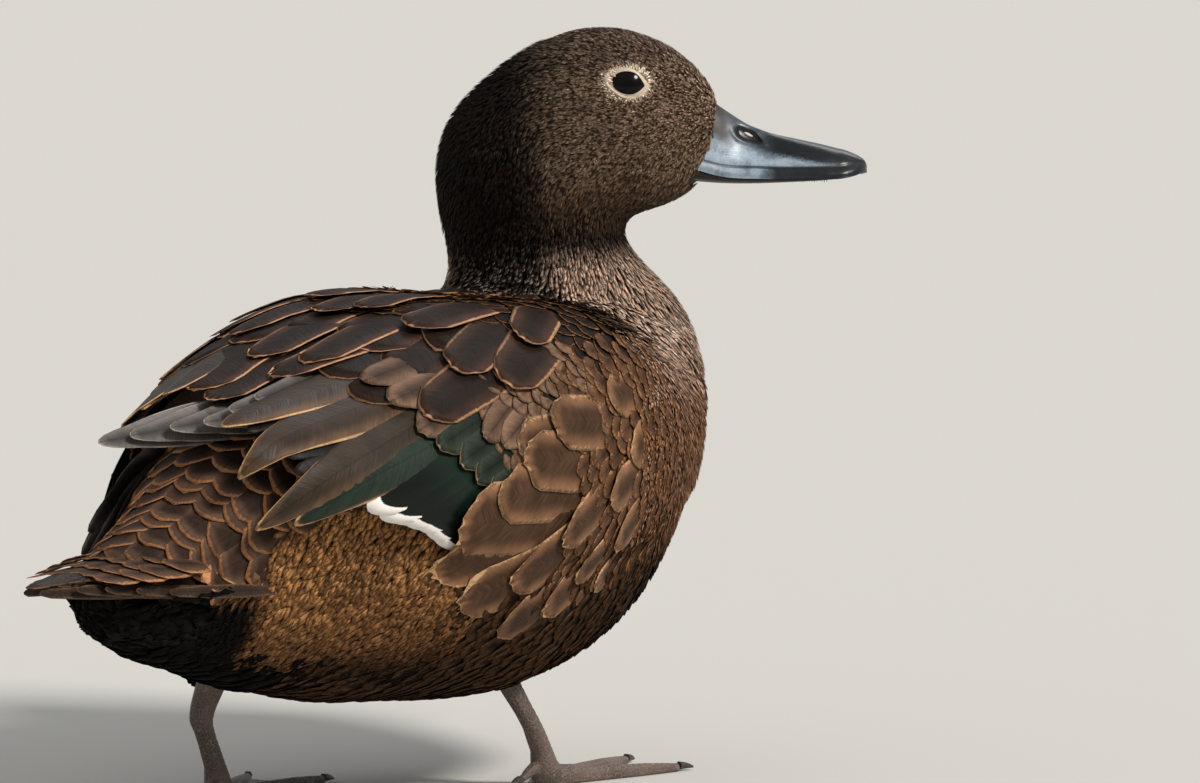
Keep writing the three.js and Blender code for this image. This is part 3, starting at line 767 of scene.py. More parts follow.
BILL_ROOT = 12.0  # hidden in the face
BILL_TIP = 60.6
# Its ridge, its edge, the lower bill's underside and half its width, as stations (ahead, height or width).
CULMEN = (
    (12, 0), (21, -4.3), (25.3, -7.2), (30.4, -10.4), (35.4, -12.5), (43, -14.3), (50.6, -16), (56, -17.6),
    (58.4, -18.7), (59.7, -19.6), (60.3, -20.4), (60.6, -21.3),
)
TOMIUM = (
    (12, -19.5), (17, -21), (24, -22.9), (34, -23.5), (50, -23.4), (55, -23.2), (58, -22.7), (60.6, -21.9),
)
KEEL = ((12, -25), (20, -25.8), (44, -25.4), (54, -24.4), (58.5, -23.4))
BILL_WIDTH = (
    (12, 8.6), (20, 8.3), (30, 7.6), (42, 8), (52, 8.6), (56, 7.6), (58.4, 5.5), (59.7, 3.4), (60.3, 1.9),
    (60.6, 0.6),
)
LID_WIDE, LID_HIGH = 4.15, 2.85  # half the opening between the lids
LID_SHIFT = np.array([0.0, 0.0, 1.0])  # from the eyeball's middle
BARE_ROUND_EYE = 1.12  # in openings
BASE_POWER = 2.0  # fullness of the upper bill's section where it leaves the face

# ---------------------------------------------------------------- how the coat lies and what marks it has

# Each kind of feather's own colour, and its tip's or edge's, except the painted light marked below.
CROWN, CROWN_TIP = rgb("#4e3e32"), rgb("#dcbaa1")
FACE, FACE_TIP = rgb("#614b39"), rgb("#efd0b5")
NAPE, NAPE_TIP = rgb("#18120e"), rgb("#392c23")
EYE_RING = rgb("#dccbb4")
BREAST, BREAST_TIP = rgb("#694f3d"), rgb("#dcbca2")
# painted light: lighter colours for the upper breast, standing in for light falling on it
BREAST_SUNLIT, BREAST_SUNLIT_TIP = rgb("#9c7f6c"), rgb("#f0d8c4")
RUFOUS = rgb("#b8743f")
# painted highlight: pale feather tips standing in for light on the front of the lower neck
FORENECK_HIGHLIGHT = rgb("#e6cfba")
BELLY, BELLY_TIP = rgb("#1b130d"), rgb("#4d3624")
MANTLE, MANTLE_EDGE = rgb("#1d1511"), rgb("#a87850")
SCAPULAR, SCAPULAR_EDGE = rgb("#33211a"), rgb("#c39470")
COVERT, COVERT_EDGE = rgb("#594436"), rgb("#8d745e")
GREATER, GREATER_EDGE = rgb("#2a2d26"), rgb("#a08364")
SPECULUM = rgb("#060808")
WHITE = rgb("#f2ece6")
TERTIAL, TERTIAL_EDGE = rgb("#4b3727"), rgb("#c89f74")
PRIMARY, PRIMARY_EDGE = rgb("#15110f"), rgb("#2c2520")
BUNDLE, BUNDLE_EDGE = rgb("#4f4a47"), rgb("#b0a598")
FLANK, FLANK_EDGE = rgb("#634733"), rgb("#c49d74")
SIDE, SIDE_EDGE = rgb("#463022"), rgb("#b5835a")
VENT, VENT_TIP = rgb("#68472e"), rgb("#b98552")
RUMP, RUMP_EDGE = rgb("#443228"), rgb("#b57f57")
UNDERTAIL, UNDERTAIL_EDGE = rgb("#080605"), rgb("#120d0a")
TAIL, TAIL_EDGE = rgb("#2b211b"), rgb("#5e4837")
TAIL_SIDE = rgb("#231a14")

HEAD_LOW = 138.0  # heights that part head from neck and neck from breast
NECK_LOW = 117.0
NECK_X = 68.0  # the neck's middle there


def eye_distance(here):
    """How many times as far from the nearer eye's middle as its lids, for places in the head's axes."""
    centre = to_head(EYES["right"]) + LID_SHIFT
    return np.hypot((here[:, 0] - centre[0]) / LID_WIDE, (here[:, 2] - centre[2]) / LID_HIGH)


def upper_spacing(points):
    """How far apart the small feathers of head, neck and breast grow."""
    here = to_head(points)
    head = 0.42 + 0.2 * ease(here[:, 0], 4, -28) - 0.12 * ease(eye_distance(here), 2.2, 1.6)
    neck = 0.6 + 0.28 * ease(points[:, 2], 138, 120)
    found = head + (neck - head) * ease(points[:, 2], 152, 138)
    breast = 1.0 + 1.3 * ease(points[:, 2], 66, 48)
    return found + (breast - found) * ease(points[:, 2], 124, 110)


def upper_flow(points):
    """The way the small feathers of head, neck and breast lie: round the eyes they point away from them."""
    here = to_head(points)
    away = unit((here - to_head(EYES["right"]) - LID_SHIFT) * [1, 0, 1])
    round_eye = ease(eye_distance(here), 2.0, 1.3)
    back = ease(here[:, 0], -12, -30)
    low = ease(here[:, 2], -4, -20)
    head = unit(np.stack([-1 + 0.75 * back, 0 * back, -0.15 - 0.85 * back - 0.35 * low], 1))
    head = unit(head + away * (round_eye * 1.6)[:, None]) @ HEAD_AXES
    neck = np.array([-0.25, 0.1, -1.0])
    front = ease(points[:, 0], 30, 84)
    belly = ease(points[:, 2], 75, 50)
    body = np.stack([-1 + 0.85 * front * (1 - belly), 0 * front, -0.2 - 0.8 * front * (1 - belly)], 1)
    way = blend(ease(points[:, 2], 156, 140), unit(head), neck)
    return unit(blend(ease(points[:, 2], 126, 112), unit(way), unit(body)))


def upper_ink(points, rng):
    """Colours of the small feathers of head, neck and breast: their centres, and tips, pale on some."""
    here = to_head(points)
    x, z = here[:, 0], here[:, 2]
    chance = rng.uniform(0, 1, len(x))
    back = ease(x, -8, -30)
    crown = ease(z, 0, 11)
    under = ease(z, -18, -30)
    centre = blend(crown, blend(back, FACE, NAPE), blend(back, CROWN, NAPE))
    tip = blend(crown, blend(back, FACE_TIP, NAPE_TIP), blend(back, CROWN_TIP, NAPE_TIP))
    tip = blend(under * 0.6, tip, NAPE_TIP)
    height = points[:, 2]
    down = ease(height, 150, 134)
    centre = blend(down, centre, NAPE)
    tip = blend(down, tip, NAPE_TIP)
    turned = np.degrees(np.arctan2(np.abs(points[:, 1]), points[:, 0] - NECK_X))
    # painted light: lighter breast colours on the neck's either side, where light falls; the strip down the
    # neck's front between them stays dark as painted shadow under the head
    patch = ease(height, 137, 129) * ease(turned, 106, 84) * ease(turned, 18, 46)  # on the neck's either side
    breast = np.maximum(ease(height, 126, 109), patch)
    tint = np.clip(ease(height, 114, 92) * 0.75 + rng.normal(0, 0.25, len(x)), 0, 1)
    # painted light: the upper breast is made lighter, as where light falls on it
    high = ease(height, 92, 114)
    centre = blend(breast, centre, blend(high, BREAST, BREAST_SUNLIT))
    tip = blend(breast, tip, blend(tint, blend(high, BREAST_TIP, BREAST_SUNLIT_TIP), RUFOUS))
    # painted highlight: a pale blob on the front of the lower neck, where light falls
    fore = np.exp(-((points[:, 0] - 73) / 13) ** 2 - ((height - 127) / 7) ** 2)
    tip = blend(fore, tip, FORENECK_HIGHLIGHT)
    low = ease(height, 74, 52)
    centre = blend(low, centre, BELLY)
    tip = blend(low, tip, BELLY_TIP)
    tip = blend(ease(chance + 0.25 * breast, 0.2, 0.8), centre * 0.5, tip)
    centre = centre * (0.35 + 1.1 * rng.uniform(0, 1, (len(x), 1)))
    ring = ease(eye_distance(here) + rng.normal(0, 0.1, len(x)), 1.48, 1.26)
    centre = blend(ring, centre, EYE_RING * 0.85)
    tip = blend(ring, tip, EYE_RING)
    fleck = (chance < 0.05) & (np.abs(z - 2) < 5) & (x < -4) & (x > -24)
    ear = (np.abs(np.hypot(x + 16, z + 10) - 9) < 0.9) & (x > -19) & (chance > 0.6)
    return centre, blend((fleck | ear) * 0.75, tip, EYE_RING)


def upper_map(points):
    """Places on the skin's unwrap: round the neck's axis, and down from the crown."""
    axis = from_head([-14, 0, 0])
    around = np.arctan2(points[:, 1] - axis[1], points[:, 0] - axis[0]) / (2 * math.pi) + 0.5
    out = np.hypot(points[:, 0] - axis[0], points[:, 1] - axis[1])
    down = (195 - points[:, 2] + out) / 260
    return np.stack([0.01 + 0.98 * around, np.clip(down, 0.005, 0.99)], 1), Coat.PATCH


def chart_map(root):
    """Places on the skin's unwrap: along the body, and round it."""
    return np.stack([(root[:, 0] + 182) / 316, (root[:, 1] % 360) / 362 + 0.002], 1), Coat.PATCH


def body_map(points):
    """The same unwrap for places on the body."""
    turn = np.degrees(np.arctan2(-points[:, 1], points[:, 2] - torso_chart.axis(points[:, 0])))
    return chart_map(np.stack([points[:, 0], turn], 1))


def middle_line(x):
    """Where the bird's middle lies to its left, as the neck turns."""
    return HEAD_AT[1] * ease(x, 60, HEAD_AT[0])


def row_map(count, first=0, total=None):
    """Large feathers get the biggest patches that fit, in the order of their roots."""
    side = math.ceil(math.sqrt(total or count))
    index = np.arange(first, first + count)
    return np.stack([(index % side + 0.5) / side, (index // side + 0.04) / side], 1), 0.9 / side


# ---------------------------------------------------------------- head, neck and breast


def in_bill(here):
    """Whether places in the head's axes are inside the bill."""
    x = np.clip(here[:, 0], BILL_ROOT, BILL_TIP)
    half, culmen, keel = (curve(stations, x) for stations in (BILL_WIDTH, CULMEN, KEEL))
    share = np.abs(here[:, 1]) / half
    roof = keel + (culmen - keel) * (1 - np.minimum(share, 1) ** BASE_POWER)
    return (here[:, 0] > BILL_ROOT) & (share < 1) & (here[:, 2] < roof) & (here[:, 2] > keel)


def height_over(chart, points):
    """How far points lie out from a chart's surface."""
    across, up = points[:, 1], points[:, 2] - chart.axis(points[:, 0])
    turn = np.degrees(np.arctan2(-across, up))
    return np.hypot(across, up) - chart.radius(points[:, 0], turn)


def on_upper(points):
    """Whether the small feathers of head, neck and breast grow here."""
    here = to_head(points)
    bare = in_bill(here) | (eye_distance(here) < BARE_ROUND_EYE) & (here[:, 0] > -20)
    neck = (height_over(torso_chart, points) > -0.2) & (points[:, 0] > 48) & (points[:, 2] > 100)
    side = ease(np.abs(points[:, 1]), 34, 50) * ease(points[:, 2], 112, 98)
    return (neck | (points[:, 0] > 56 - 20 * side)) & ~(bare & (points[:, 2] > HEAD_LOW))


HAIR = Form(3, 3, tip=1.0, narrow=0.7, root=-0.45, end=0.32, camber=0.1, keel=False)
SHAGGY = Form(3, 3, tip=1.2, narrow=0.7, root=-0.5, end=0.85, camber=0.1, keel=False)
LONG_HAIR = Form(3, 3, tip=1.0, narrow=0.7, root=-0.7, end=0.45, camber=0.1, keel=False)
BREAST_HAIR = Form(3, 3, tip=0.9, narrow=0.6, root=-0.7, end=0.4, camber=0.1, keel=False)


def dress_upper():
    """Head, nape, neck and breast, in pieces that share one scatter of roots."""
    spots = scattered(whole, on_upper, upper_spacing, 11)
    height = spots[:, 2]
    right = spots[:, 1] < middle_line(spots[:, 0])
    head = height >= HEAD_LOW
    neck = (height < HEAD_LOW) & (height >= NECK_LOW)
    breast = height < NECK_LOW
    nape = head & (to_head(spots)[:, 0] < -19)
    head = head & ~nape
    parts = (
        ("head_feathers_right", head & right, HAIR, 6.4, 1.2, 21),
        ("head_feathers_left", head & ~right, HAIR, 6.4, 1.2, 22),
        ("nape_feathers", nape, SHAGGY, 5.6, 1.25, 26),
        ("neck_feathers", neck, LONG_HAIR, 6.2, 1.1, 23),
        ("breast_feathers_right", breast & right, BREAST_HAIR, 4.8, 1.35, 24),
        ("breast_feathers_left", breast & ~right, BREAST_HAIR, 4.8, 1.35, 25),
    )
    soft = vane_material("head_plumage", roughness=0.7, barbs=0.8, specular=0.1)
    for name, here, form, longer, wider, seed in parts:
        coat = Coat(seed)
        root = spots[here]
        spacing = upper_spacing(root) * coat.rng.uniform(0.85, 1.2, len(root))
        way = upper_flow(root) + coat.rng.normal(0, 0.12, (len(root), 3))
        centre, tip = upper_ink(root, coat.rng)
        ink = Ink(centre, tip, width=spacing * 1.1, bristle=0.6, shaft=0.0, sides=None)
        lay = on_surface(whole, root, way)
        shorter = 1 - 0.35 * ease(eye_distance(to_head(root)), 2.2, 1.4)
        coat.add(lay, spacing * longer * shorter, spacing * wider, form, ink, upper_map(root))
        coat.finish(name, soft, "breast_plumage" if "breast" in name else "plumage")


# ---------------------------------------------------------------- body, wings and tail

BODY_VANE = Form(5, 7, tip=0.5, narrow=0.6, fray=0.04, root=-1.2, end=0.35, rise=0.7, camber=0.03)
SCALE_VANE = Form(6, 9, tip=0.5, narrow=0.6, fray=0.012, root=-1.4, end=0.35, rise=0.6, camber=0.03)
TAIL_SCALE = Form(6, 9, tip=0.5, narrow=0.6, fray=0.012, root=-1.3, end=-0.35, rise=0.7, camber=0.02)
FLAT_SCALE = Form(6, 9, tip=0.6, narrow=0.6, fray=0.006, root=-1.4, end=0.05, rise=0.7, camber=0.02)
UNDER_HAIR = Form(3, 3, tip=1.0, narrow=0.7, root=-0.7, end=0.05, camber=0.1, keel=False)
FILLER = Form(8, 9, narrow=0.6, fray=0.012, root=-1.6, end=-0.1, rise=0.6, camber=0.02)
LARGE_VANE = Form(
    12, 13, tip=0.5, taper=0.15, narrow=0.6, fray=0.012, root=-2.0, end=0.5, rise=0.5, camber=0.02,
)
SIDE_VANE = Form(10, 15, tip=0.5, narrow=0.6, fray=0.022, root=-2.2, end=0.6, rise=0.5, camber=0.02)
PLATE = Form(16, 11, tip=1.0, taper=0.3, narrow=0.6, root=-0.9, end=0.2, camber=0.03, thickness=0.3)
POINTED = Form(14, 7, tip=1.1, taper=0.45, narrow=0.7, root=-1.9, end=-0.9, camber=0.05, thickness=0.35)
CURVED = Form(
    16, 7, tip=1.1, taper=0.5, narrow=0.7, root=0.0, end=0.0, camber=0.06, bend=0.12, thickness=0.35,
)


def shingles(chart, x_from, x_to, turn_from, turn_to, step, across, rng):
    """Staggered roots (x, turn) of a tract of small feathers, with a little disorder."""
    roots = []
    for row, x in enumerate(np.arange(x_from, x_to, -step)):
        middle_turn = (turn_from + turn_to) / 2
        arc = abs(turn_to - turn_from) * float(chart.scale(np.array(x), np.array(middle_turn)))
        count = max(int(arc / across), 2)
        share = (np.arange(count) + (0.25 if row % 2 else 0.75)) / count
        roots.append(np.stack([np.full(count, x), turn_from + (turn_to - turn_from) * share], 1))
    roots = np.concatenate(roots)
    roots[:, 0] += rng.normal(0, step * 0.12, len(roots))
    roots[:, 1] += rng.normal(0, across * 0.1, len(roots))
    return roots


def aimed(chart, root, length, down):
    """Tips of feathers that point back, and down by an angle on either side."""
    angle = np.radians(down)
    scale = chart.scale(root[:, 0], root[:, 1])
    turn = (root[:, 1] + 180) % 360 - 180
    return root + np.stack([-np.cos(angle) * length, np.sin(angle) * length / scale * np.sign(turn)], 1)


def tract(name, chart, zone, spacing, size, form, ink, material, seed, down=0, slot="plumage"):
    """A piece of small feathers on part of a chart.

    zone is (x from, x to, turn from, turn to). spacing is from row to row and within a row, and size a
    feather's length and width. down is the angle at which the feathers leave the body's length.
    """
    coat = Coat(seed)
    root = shingles(chart, *zone, *spacing, coat.rng)
    length = size[0] * coat.rng.uniform(0.88, 1.12, len(root))
    width = size[1] * coat.rng.uniform(0.9, 1.1, len(root))
    lay, length = on_chart(chart, root, aimed(chart, root, length, down + coat.rng.normal(0, 4, len(root))))
    coat.add(lay, length, width, form, ink, chart_map(root))
    coat.finish(name, material, slot)


def fan(count, root_from, root_to, tip_from, tip_to, side):
    """Roots and tips (x, turn) of a row of large feathers, spaced evenly between its first and last."""
    share = np.linspace(0, 1, count)[:, None]
    mirror = np.array([1.0, side])
    root = (np.array(root_from) * (1 - share) + np.array(root_to) * share) * mirror
    tip = (np.array(tip_from) * (1 - share) + np.array(tip_to) * share) * mirror
    return root, tip


def add_row(coat, chart, ends, width, form, ink, order, total=None):
    """Adds a row of large feathers to an empty coat; order lifts each that much above the next."""
    root, tip = ends
    count = len(root)
    tip = tip + coat.rng.normal(0, 0.7, (count, 2))
    lay, length = on_chart(chart, root, tip)
    wide = width * coat.rng.uniform(0.95, 1.05, count)
    lift = order * np.arange(count)[::-1]

    def stacked(along, across):
        points, normals = lay(along, across)
        return points + normals * lift[:, None, None, None], normals

    coat.add(stacked, length, wide, form, ink, row_map(count, total=total))
    coat.placed = count


def placed(coat, chart, side, places, form, ink, order, lift=0.0):
    """Adds feathers given as (tip x, tip turn, root x, root turn, width), the first on top."""
    rows = np.array(places, float)
    count = len(rows)
    mirror = np.array([1.0, side])
    tip, root, width = rows[:, 0:2] * mirror, rows[:, 2:4] * mirror, rows[:, 4]
    lay, length = on_chart(chart, root, tip)
    height = lift + order * np.arange(count)[::-1]

    def stacked(along, across):
        points, normals = lay(along, across)
        rise = ease(along / length[:, None, None], 0.1, 0.9) * height[:, None, None]
        return points + normals * rise[..., None], normals

    coat.add(stacked, length, width, form, ink, row_map(count, coat.placed, coat.PLACES))
    coat.placed += count


def hair(name, wanted, spacing, flow, ink, form, longer, seed):
    """A piece of soft hair-like tufts on part of the rump's surface, which all flow one way."""
    coat = Coat(seed)
    root = scattered(rump_surface, wanted, lambda points: np.full(len(points), spacing), seed)
    size = spacing * coat.rng.uniform(0.85, 1.25, len(root))
    way = np.array(flow) + coat.rng.normal(0, 0.18, (len(root), 3))
    lay = on_surface(rump_surface, root, way)
    coat.add(lay, size * longer, size * 1.5, form, ink(root, coat.rng), body_map(root))
    coat.finish(name, vane_material(name, roughness=0.75, barbs=0.9, specular=0.08))


def mottle(points):
    """Soft patches about 5 mm across, from 0 to 1."""
    x, y, z = points.T
    wave = np.sin(x * 0.9 + 1.7 * np.sin(z * 0.5)) + np.sin(z * 1.1 + 1.3 * np.sin(x * 0.43))
    return ease(wave + np.sin(y + x * 0.3), -1.2, 1.6)


def vent_ink(points, rng):
    """Mottled brown, darker low down, and black at the rear beneath the tail."""
    x, _, z = points.T
    light = np.clip(0.3 + 0.7 * mottle(points) + rng.normal(0, 0.2, len(x)), 0, 1) * ease(z, 42, 62)
    black = ease(x, -80, -89) * ease(z, 67, 61)
    brown = blend(ease(z, 36, 48), BELLY, VENT)
    centre = blend(black, blend(light, brown, blend(0.5, VENT, VENT_TIP)), UNDERTAIL)
    tip = blend(black, blend(light, brown * 1.3, VENT_TIP), UNDERTAIL_EDGE)
    return Ink(centre, tip, width=1.2, bristle=0.8, shaft=0.0, sides=None)


def undertail_ink(*_):
    """The same black wherever it is."""
    return Ink(UNDERTAIL, UNDERTAIL_EDGE, 0.7, 0.6, shaft=0.0, sides=None)


def rump_turn(points):
    """How far round from the rump's top points lie, on either side."""
    return np.abs(np.degrees(np.arctan2(-points[:, 1], points[:, 2] - rump_chart.axis(points[:, 0]))))


def on_vent(points):
    """Behind the flank feathers and below the rump's scales, on either side."""
    turn = rump_turn(points)
    border = 60 + 26 * ease(points[:, 0], -78, -92)
    return (points[:, 0] < -20) & (points[:, 0] > -100) & (turn > border) & (turn < 144)


def below_tail(points):
    """Behind the vent, lower than the rump's scales reach."""
    return (points[:, 0] < -94) & (points[:, 0] > -150) & (rump_turn(points) > 80)


def dress_rump(material):
    """Rows of scales over the rump, which reach less far round towards the tail, and get smaller."""
    coat = Coat(31)
    spans = ((-50, -80, 58), (-80, -97, 78), (-97, -113, 60), (-113, -127, 50), (-127, -139, 30))
    for first, last, turn in spans:
        root = shingles(rump_chart, first, last, -turn, turn, 6.6, 9.4, coat.rng)
        smaller = 4 * ease(root[:, 0], -110, -140)
        lay, length = on_chart(rump_chart, root, aimed(rump_chart, root, 16.5 - smaller, 4))
        coat.add(lay, length, 14 - smaller, SCALE_VANE, Ink(RUMP, RUMP_EDGE, 1.15, 0.5), chart_map(root))
    coat.finish("rump_feathers", material)


def dress_body():
    """Rump, vent, underside, mantle and sides."""
    body = vane_material("body_plumage", roughness=0.6, barbs=0.5, specular=0.08)
    soft = vane_material("soft_plumage", roughness=0.8, barbs=0.9, specular=0.04)
    dress_rump(body)
    hair("vent_feathers", on_vent, 0.95, (-1.0, 0, -0.55), vent_ink, LONG_HAIR, 6.5, 32)
    zone = (-44, -108, 136, 224)
    under = Ink(UNDERTAIL, UNDERTAIL_EDGE, 0.7, 0.6)
    tract("undertail_feathers", rump_chart, zone, (5.0, 6.0), (14, 9), BODY_VANE, under, soft, 34)
    hair("tail_base_feathers", below_tail, 1.7, (-1.0, 0, 0), undertail_ink, UNDER_HAIR, 4.6, 39)
    belly = Ink(BELLY, BELLY_TIP, 2.4, 1.6)
    zones = (("belly_feathers", (66, -26, 100, 260), 35), ("belly_feathers_rear", (-26, -58, 132, 228), 40))
    for name, zone, seed in zones:
        tract(name, torso_chart, zone, (4.6, 5.5), (13, 8), BODY_VANE, belly, soft, seed,
              slot="breast_plumage")
    mantle = Ink(MANTLE, MANTLE_EDGE, 0.55, 0.35)
    zone = (63, 6, -62, 62)
    tract("mantle_feathers", back_chart, zone, (4.2, 5.8), (12, 8), FLAT_SCALE, mantle, body, 36, down=8)
    ink = Ink(SIDE, SIDE_EDGE, 0.5, 1.2)
    for name, side, seed in (("side_feathers", 1, 37), ("side_feathers_left", -1, 38)):
        zone = (62, 10, 52 * side, 114 * side)
        tract(name, torso_chart, zone, (4.2, 5.0), (11, 7.6), SCALE_VANE, ink, body, seed, down=10)


# Large feathers as (tip x, tip turn, root x, root turn, width), for the right side; a turn is from the top.

SCAPULARS = {
    "right": (
        (3, 44, 40, 32, 13), (-17, 23, 34, 24, 16), (-6, 1, 48, 0, 13), (-25, 42, 22, 32, 15),
        (-15, 51, 28, 40, 16), (-45, 49, 6, 43, 16), (-49, 12, 10, 12, 15), (-59, 8, -4, 20, 15),
    ),
    "left": (
        (4, 20, 50, 18, 12), (-11, 9, 40, 8, 13), (2, 42, 42, 30, 13), (-17, 37, 30, 31, 15),
        (-28, 25, 24, 20, 15), (-47, 7, 4, 6, 15), (-30, 48, 16, 40, 15), (-71, 12, -12, 16, 18),
        (-73, 29, -12, 27, 18), (-77, 1, -24, 2, 15),
    ),
}
SCAPULAR_FILL = (
    (-20, 33, 30, 26, 17), (-34, 20, 14, 18, 17), (-40, 33, 10, 30, 17), (-52, 22, -4, 20, 17),
    (-56, 34, -10, 32, 17), (-40, 46, 8, 40, 17), (-10, 46, 36, 38, 15), (-4, 14, 44, 12, 15),
    (-24, 8, 26, 9, 14), (-54, 9, -2, 10, 14),
)
TERTIALS = {
    "right": ((-95, 18, -30, 30, 15), (-98, 32, -34, 40, 17), (-97, 53, -36, 49, 16), (-88, 59, -34, 56, 14)),
    "left": ((-75, 18, -22, 30, 15), (-74, 30, -24, 38, 17), (-68, 42, -24, 46, 16), (-60, 50, -22, 53, 14)),
}
COVERTS = (
    (-31, 61, -4, 52, 9), (-26, 64, -2, 57, 9), (-20, 66, 2, 60, 9), (-15, 69, 6, 63, 9),
    (-49, 31, -14, 35, 11), (-50, 41, -14, 42, 12), (-49, 52, -12, 49, 13), (-46, 58, -10, 54, 11),
    (-41, 64, -8, 59, 11), (-37, 69, -6, 64, 10), (-33, 74, -4, 69, 10), (-28, 79, 0, 74, 10),
)
FLANK_PLACES = (
    (-7, 63, 32, 74, 14), (-20, 69, 18, 79, 15), (-3, 92, 24, 82, 13), (-30, 75, 8, 83, 15),
    (14, 86, 38, 84, 12), (-42, 79, 4, 89, 19), (23, 101, 42, 90, 12), (11, 107, 34, 95, 12),
    (-16, 102, 14, 92, 16), (-21, 66, 16, 70, 14), (-43, 92, -4, 90, 18), (-32, 106, 6, 98, 16),
    (2, 114, 30, 104, 13), (-12, 118, 20, 108, 15), (19, 65, 46, 66, 12), (24, 78, 46, 78, 12),
    (24, 113, 46, 104, 12),
)

# Roots' first and last, then tips' first and last, as (x, turn).

RIGHT_PRIMARY_ENDS = ((-60, 24), (-64, 60), (-90, 24), (-86, 50))
SECONDARY_ENDS = {
    "right": ((-24, 59), (-2, 86), (-67, 69.5), (-46, 83)),
    "left": ((-24, 66), (-2, 92), (-57, 82), (-44, 92)),
}
FLANK_ENDS = ((30, 70), (0, 100), (-16, 64), (-44, 96))

LEFT_PRIMARY_TIPS = ((-100, 25, 82), (-104, 24.5, 77), (-104, 21, 71), (-110, 23.5, 69))
LEFT_PRIMARY_ROOTS = ((-58, 22, 92), (-59, 22, 91), (-60, 20, 90), (-60, 20, 90))
LEFT_COVERTS_LOWER = -3.0
RIGHT_SCAPULARS_HIGHER = 0.6
TERTIAL_GLOSS = np.array([0, 0, 0.15, 0.9])
DULL_COVERTS = 7  # the first in the list; the others have green in them


def primaries(name, side, material):
    """The wing's tip: the right one lies flat under the tertials, and the left one's feathers bend."""
    coat = Coat(41)
    ink = Ink(PRIMARY, PRIMARY_EDGE, 0.4, 0.1)
    if name == "left":
        lay, length = straight(LEFT_PRIMARY_ROOTS, LEFT_PRIMARY_TIPS, (0.25, -0.95, 0.2), -0.3)
        coat.add(lay, length, np.full(len(length), 13.0), CURVED, ink, row_map(len(length)))
    else:
        add_row(coat, wing_chart, fan(6, *RIGHT_PRIMARY_ENDS, side), 14, POINTED, ink, 0.1)
    coat.finish(f"primaries_{name}", material, "flight_feathers")


def secondaries(name, side):
    """The speculum: feathers that end sooner on one side."""
    coat = Coat(42)
    slant = 1.15 * side
    form = Form(14, 13, tip=0.35, narrow=0.8, root=-1.3, end=-0.75, camber=0.02, thickness=0.25, slant=slant)
    ends = fan(7, *SECONDARY_ENDS[name], side)
    add_row(coat, torso_chart, ends, 9.5, form, Ink(SPECULUM, WHITE, 3.0, 0.1), 0.1)
    coat.finish(f"secondaries_{name}", speculum_material(f"speculum_{name}"), "flight_feathers")


def tertials(name, side, material):
    """The long inner feathers, the lowest of them green."""
    coat = Coat(43)
    ink = Ink(TERTIAL, TERTIAL_EDGE, 0.8, 0.15, TERTIAL_GLOSS, 0.5, side)
    placed(coat, back_chart, side, TERTIALS[name], PLATE, ink, 0.4)
    coat.finish(f"tertials_{name}", material, "flight_feathers")


def coverts(name, side, material):
    """The folded wing's large coverts, and the small ones ahead of them."""
    coat = Coat(44)
    green = np.arange(len(COVERTS)) >= DULL_COVERTS
    colours = blend(green, COVERT, GREATER), blend(green, COVERT_EDGE, GREATER_EDGE)
    ink = Ink(*colours, 0.5, 0.2, 0.3 * green, 0.4)
    lift = LEFT_COVERTS_LOWER if name == "left" else 0.0
    placed(coat, torso_chart, side, COVERTS, LARGE_VANE, ink, 0.06, lift)
    coat.finish(f"greater_coverts_{name}", material, "flight_feathers")
    zone = (22, -18, 44 * side, 70 * side)
    small = Ink(COVERT, COVERT_EDGE, 0.4, 0.3)
    lesser = f"lesser_coverts_{name}"
    tract(lesser, torso_chart, zone, (3.6, 4.2), (9, 6.2), SCALE_VANE, small, material, 45, down=8)


def scapulars(name, side, material):
    """Large shoulder feathers over a row that fills the gaps between them."""
    coat = Coat(46)
    ink = Ink(SCAPULAR, SCAPULAR_EDGE, 0.85, 0.25, gloss=0.08)
    placed(coat, back_chart, side, SCAPULAR_FILL, FILLER, ink, 0.02)
    lift = RIGHT_SCAPULARS_HIGHER if name == "right" else 0.0
    placed(coat, back_chart, side, SCAPULARS[name], LARGE_VANE, ink, 0.1, lift)
    coat.finish(f"scapulars_{name}", material, "flight_feathers")


def flank(name, side):
    """Large feathers on the body's side, over a row that fills the gaps between them."""
    coat = Coat(47)
    ink = Ink(FLANK, FLANK_EDGE, 0.5, 1.0, shaft=0.1)
    add_row(coat, torso_chart, fan(6, *FLANK_ENDS, side), 18, FILLER, ink, 0.02, coat.PLACES)
    placed(coat, torso_chart, side, FLANK_PLACES, SIDE_VANE, ink, 0.05)
    material = vane_material(f"flank_{name}", roughness=0.65, barbs=0.7, specular=0.1)
    coat.finish(f"flank_feathers_{name}", material, "breast_plumage")


def dress_wing(name, side):
    """One folded wing's feathers, and the flank's beneath. The left wing lies a little differently."""
    firm = vane_material(f"flight_feather_{name}", roughness=0.5, barbs=0.5, specular=0.2)
    body = vane_material(f"covert_{name}", roughness=0.58, barbs=0.5, specular=0.1)
    primaries(name, side, firm)
    secondaries(name, side)
    tertials(name, side, firm)
    coverts(name, side, body)
    scapulars(name, side, body)
    flank(name, side)


def straight(roots, tips, facing, order):
    """How to lay feathers straight from roots to tips, facing one way, each above the one before."""
    roots, tips = np.array(roots, float), np.array(tips, float)
    length = np.linalg.norm(tips - roots, axis=1)
    way = ((tips - roots) / length[:, None])[:, None, None]
    side = unit(np.cross(facing, way))
    normal = np.cross(way, side)
    level = order * np.arange(len(tips))[:, None, None, None]

    def lay(along, across):
        points = roots[:, None, None] + way * along[..., None] + side * across[..., None]
        return points + normal * level, np.broadcast_to(normal, points.shape)

    return lay, length


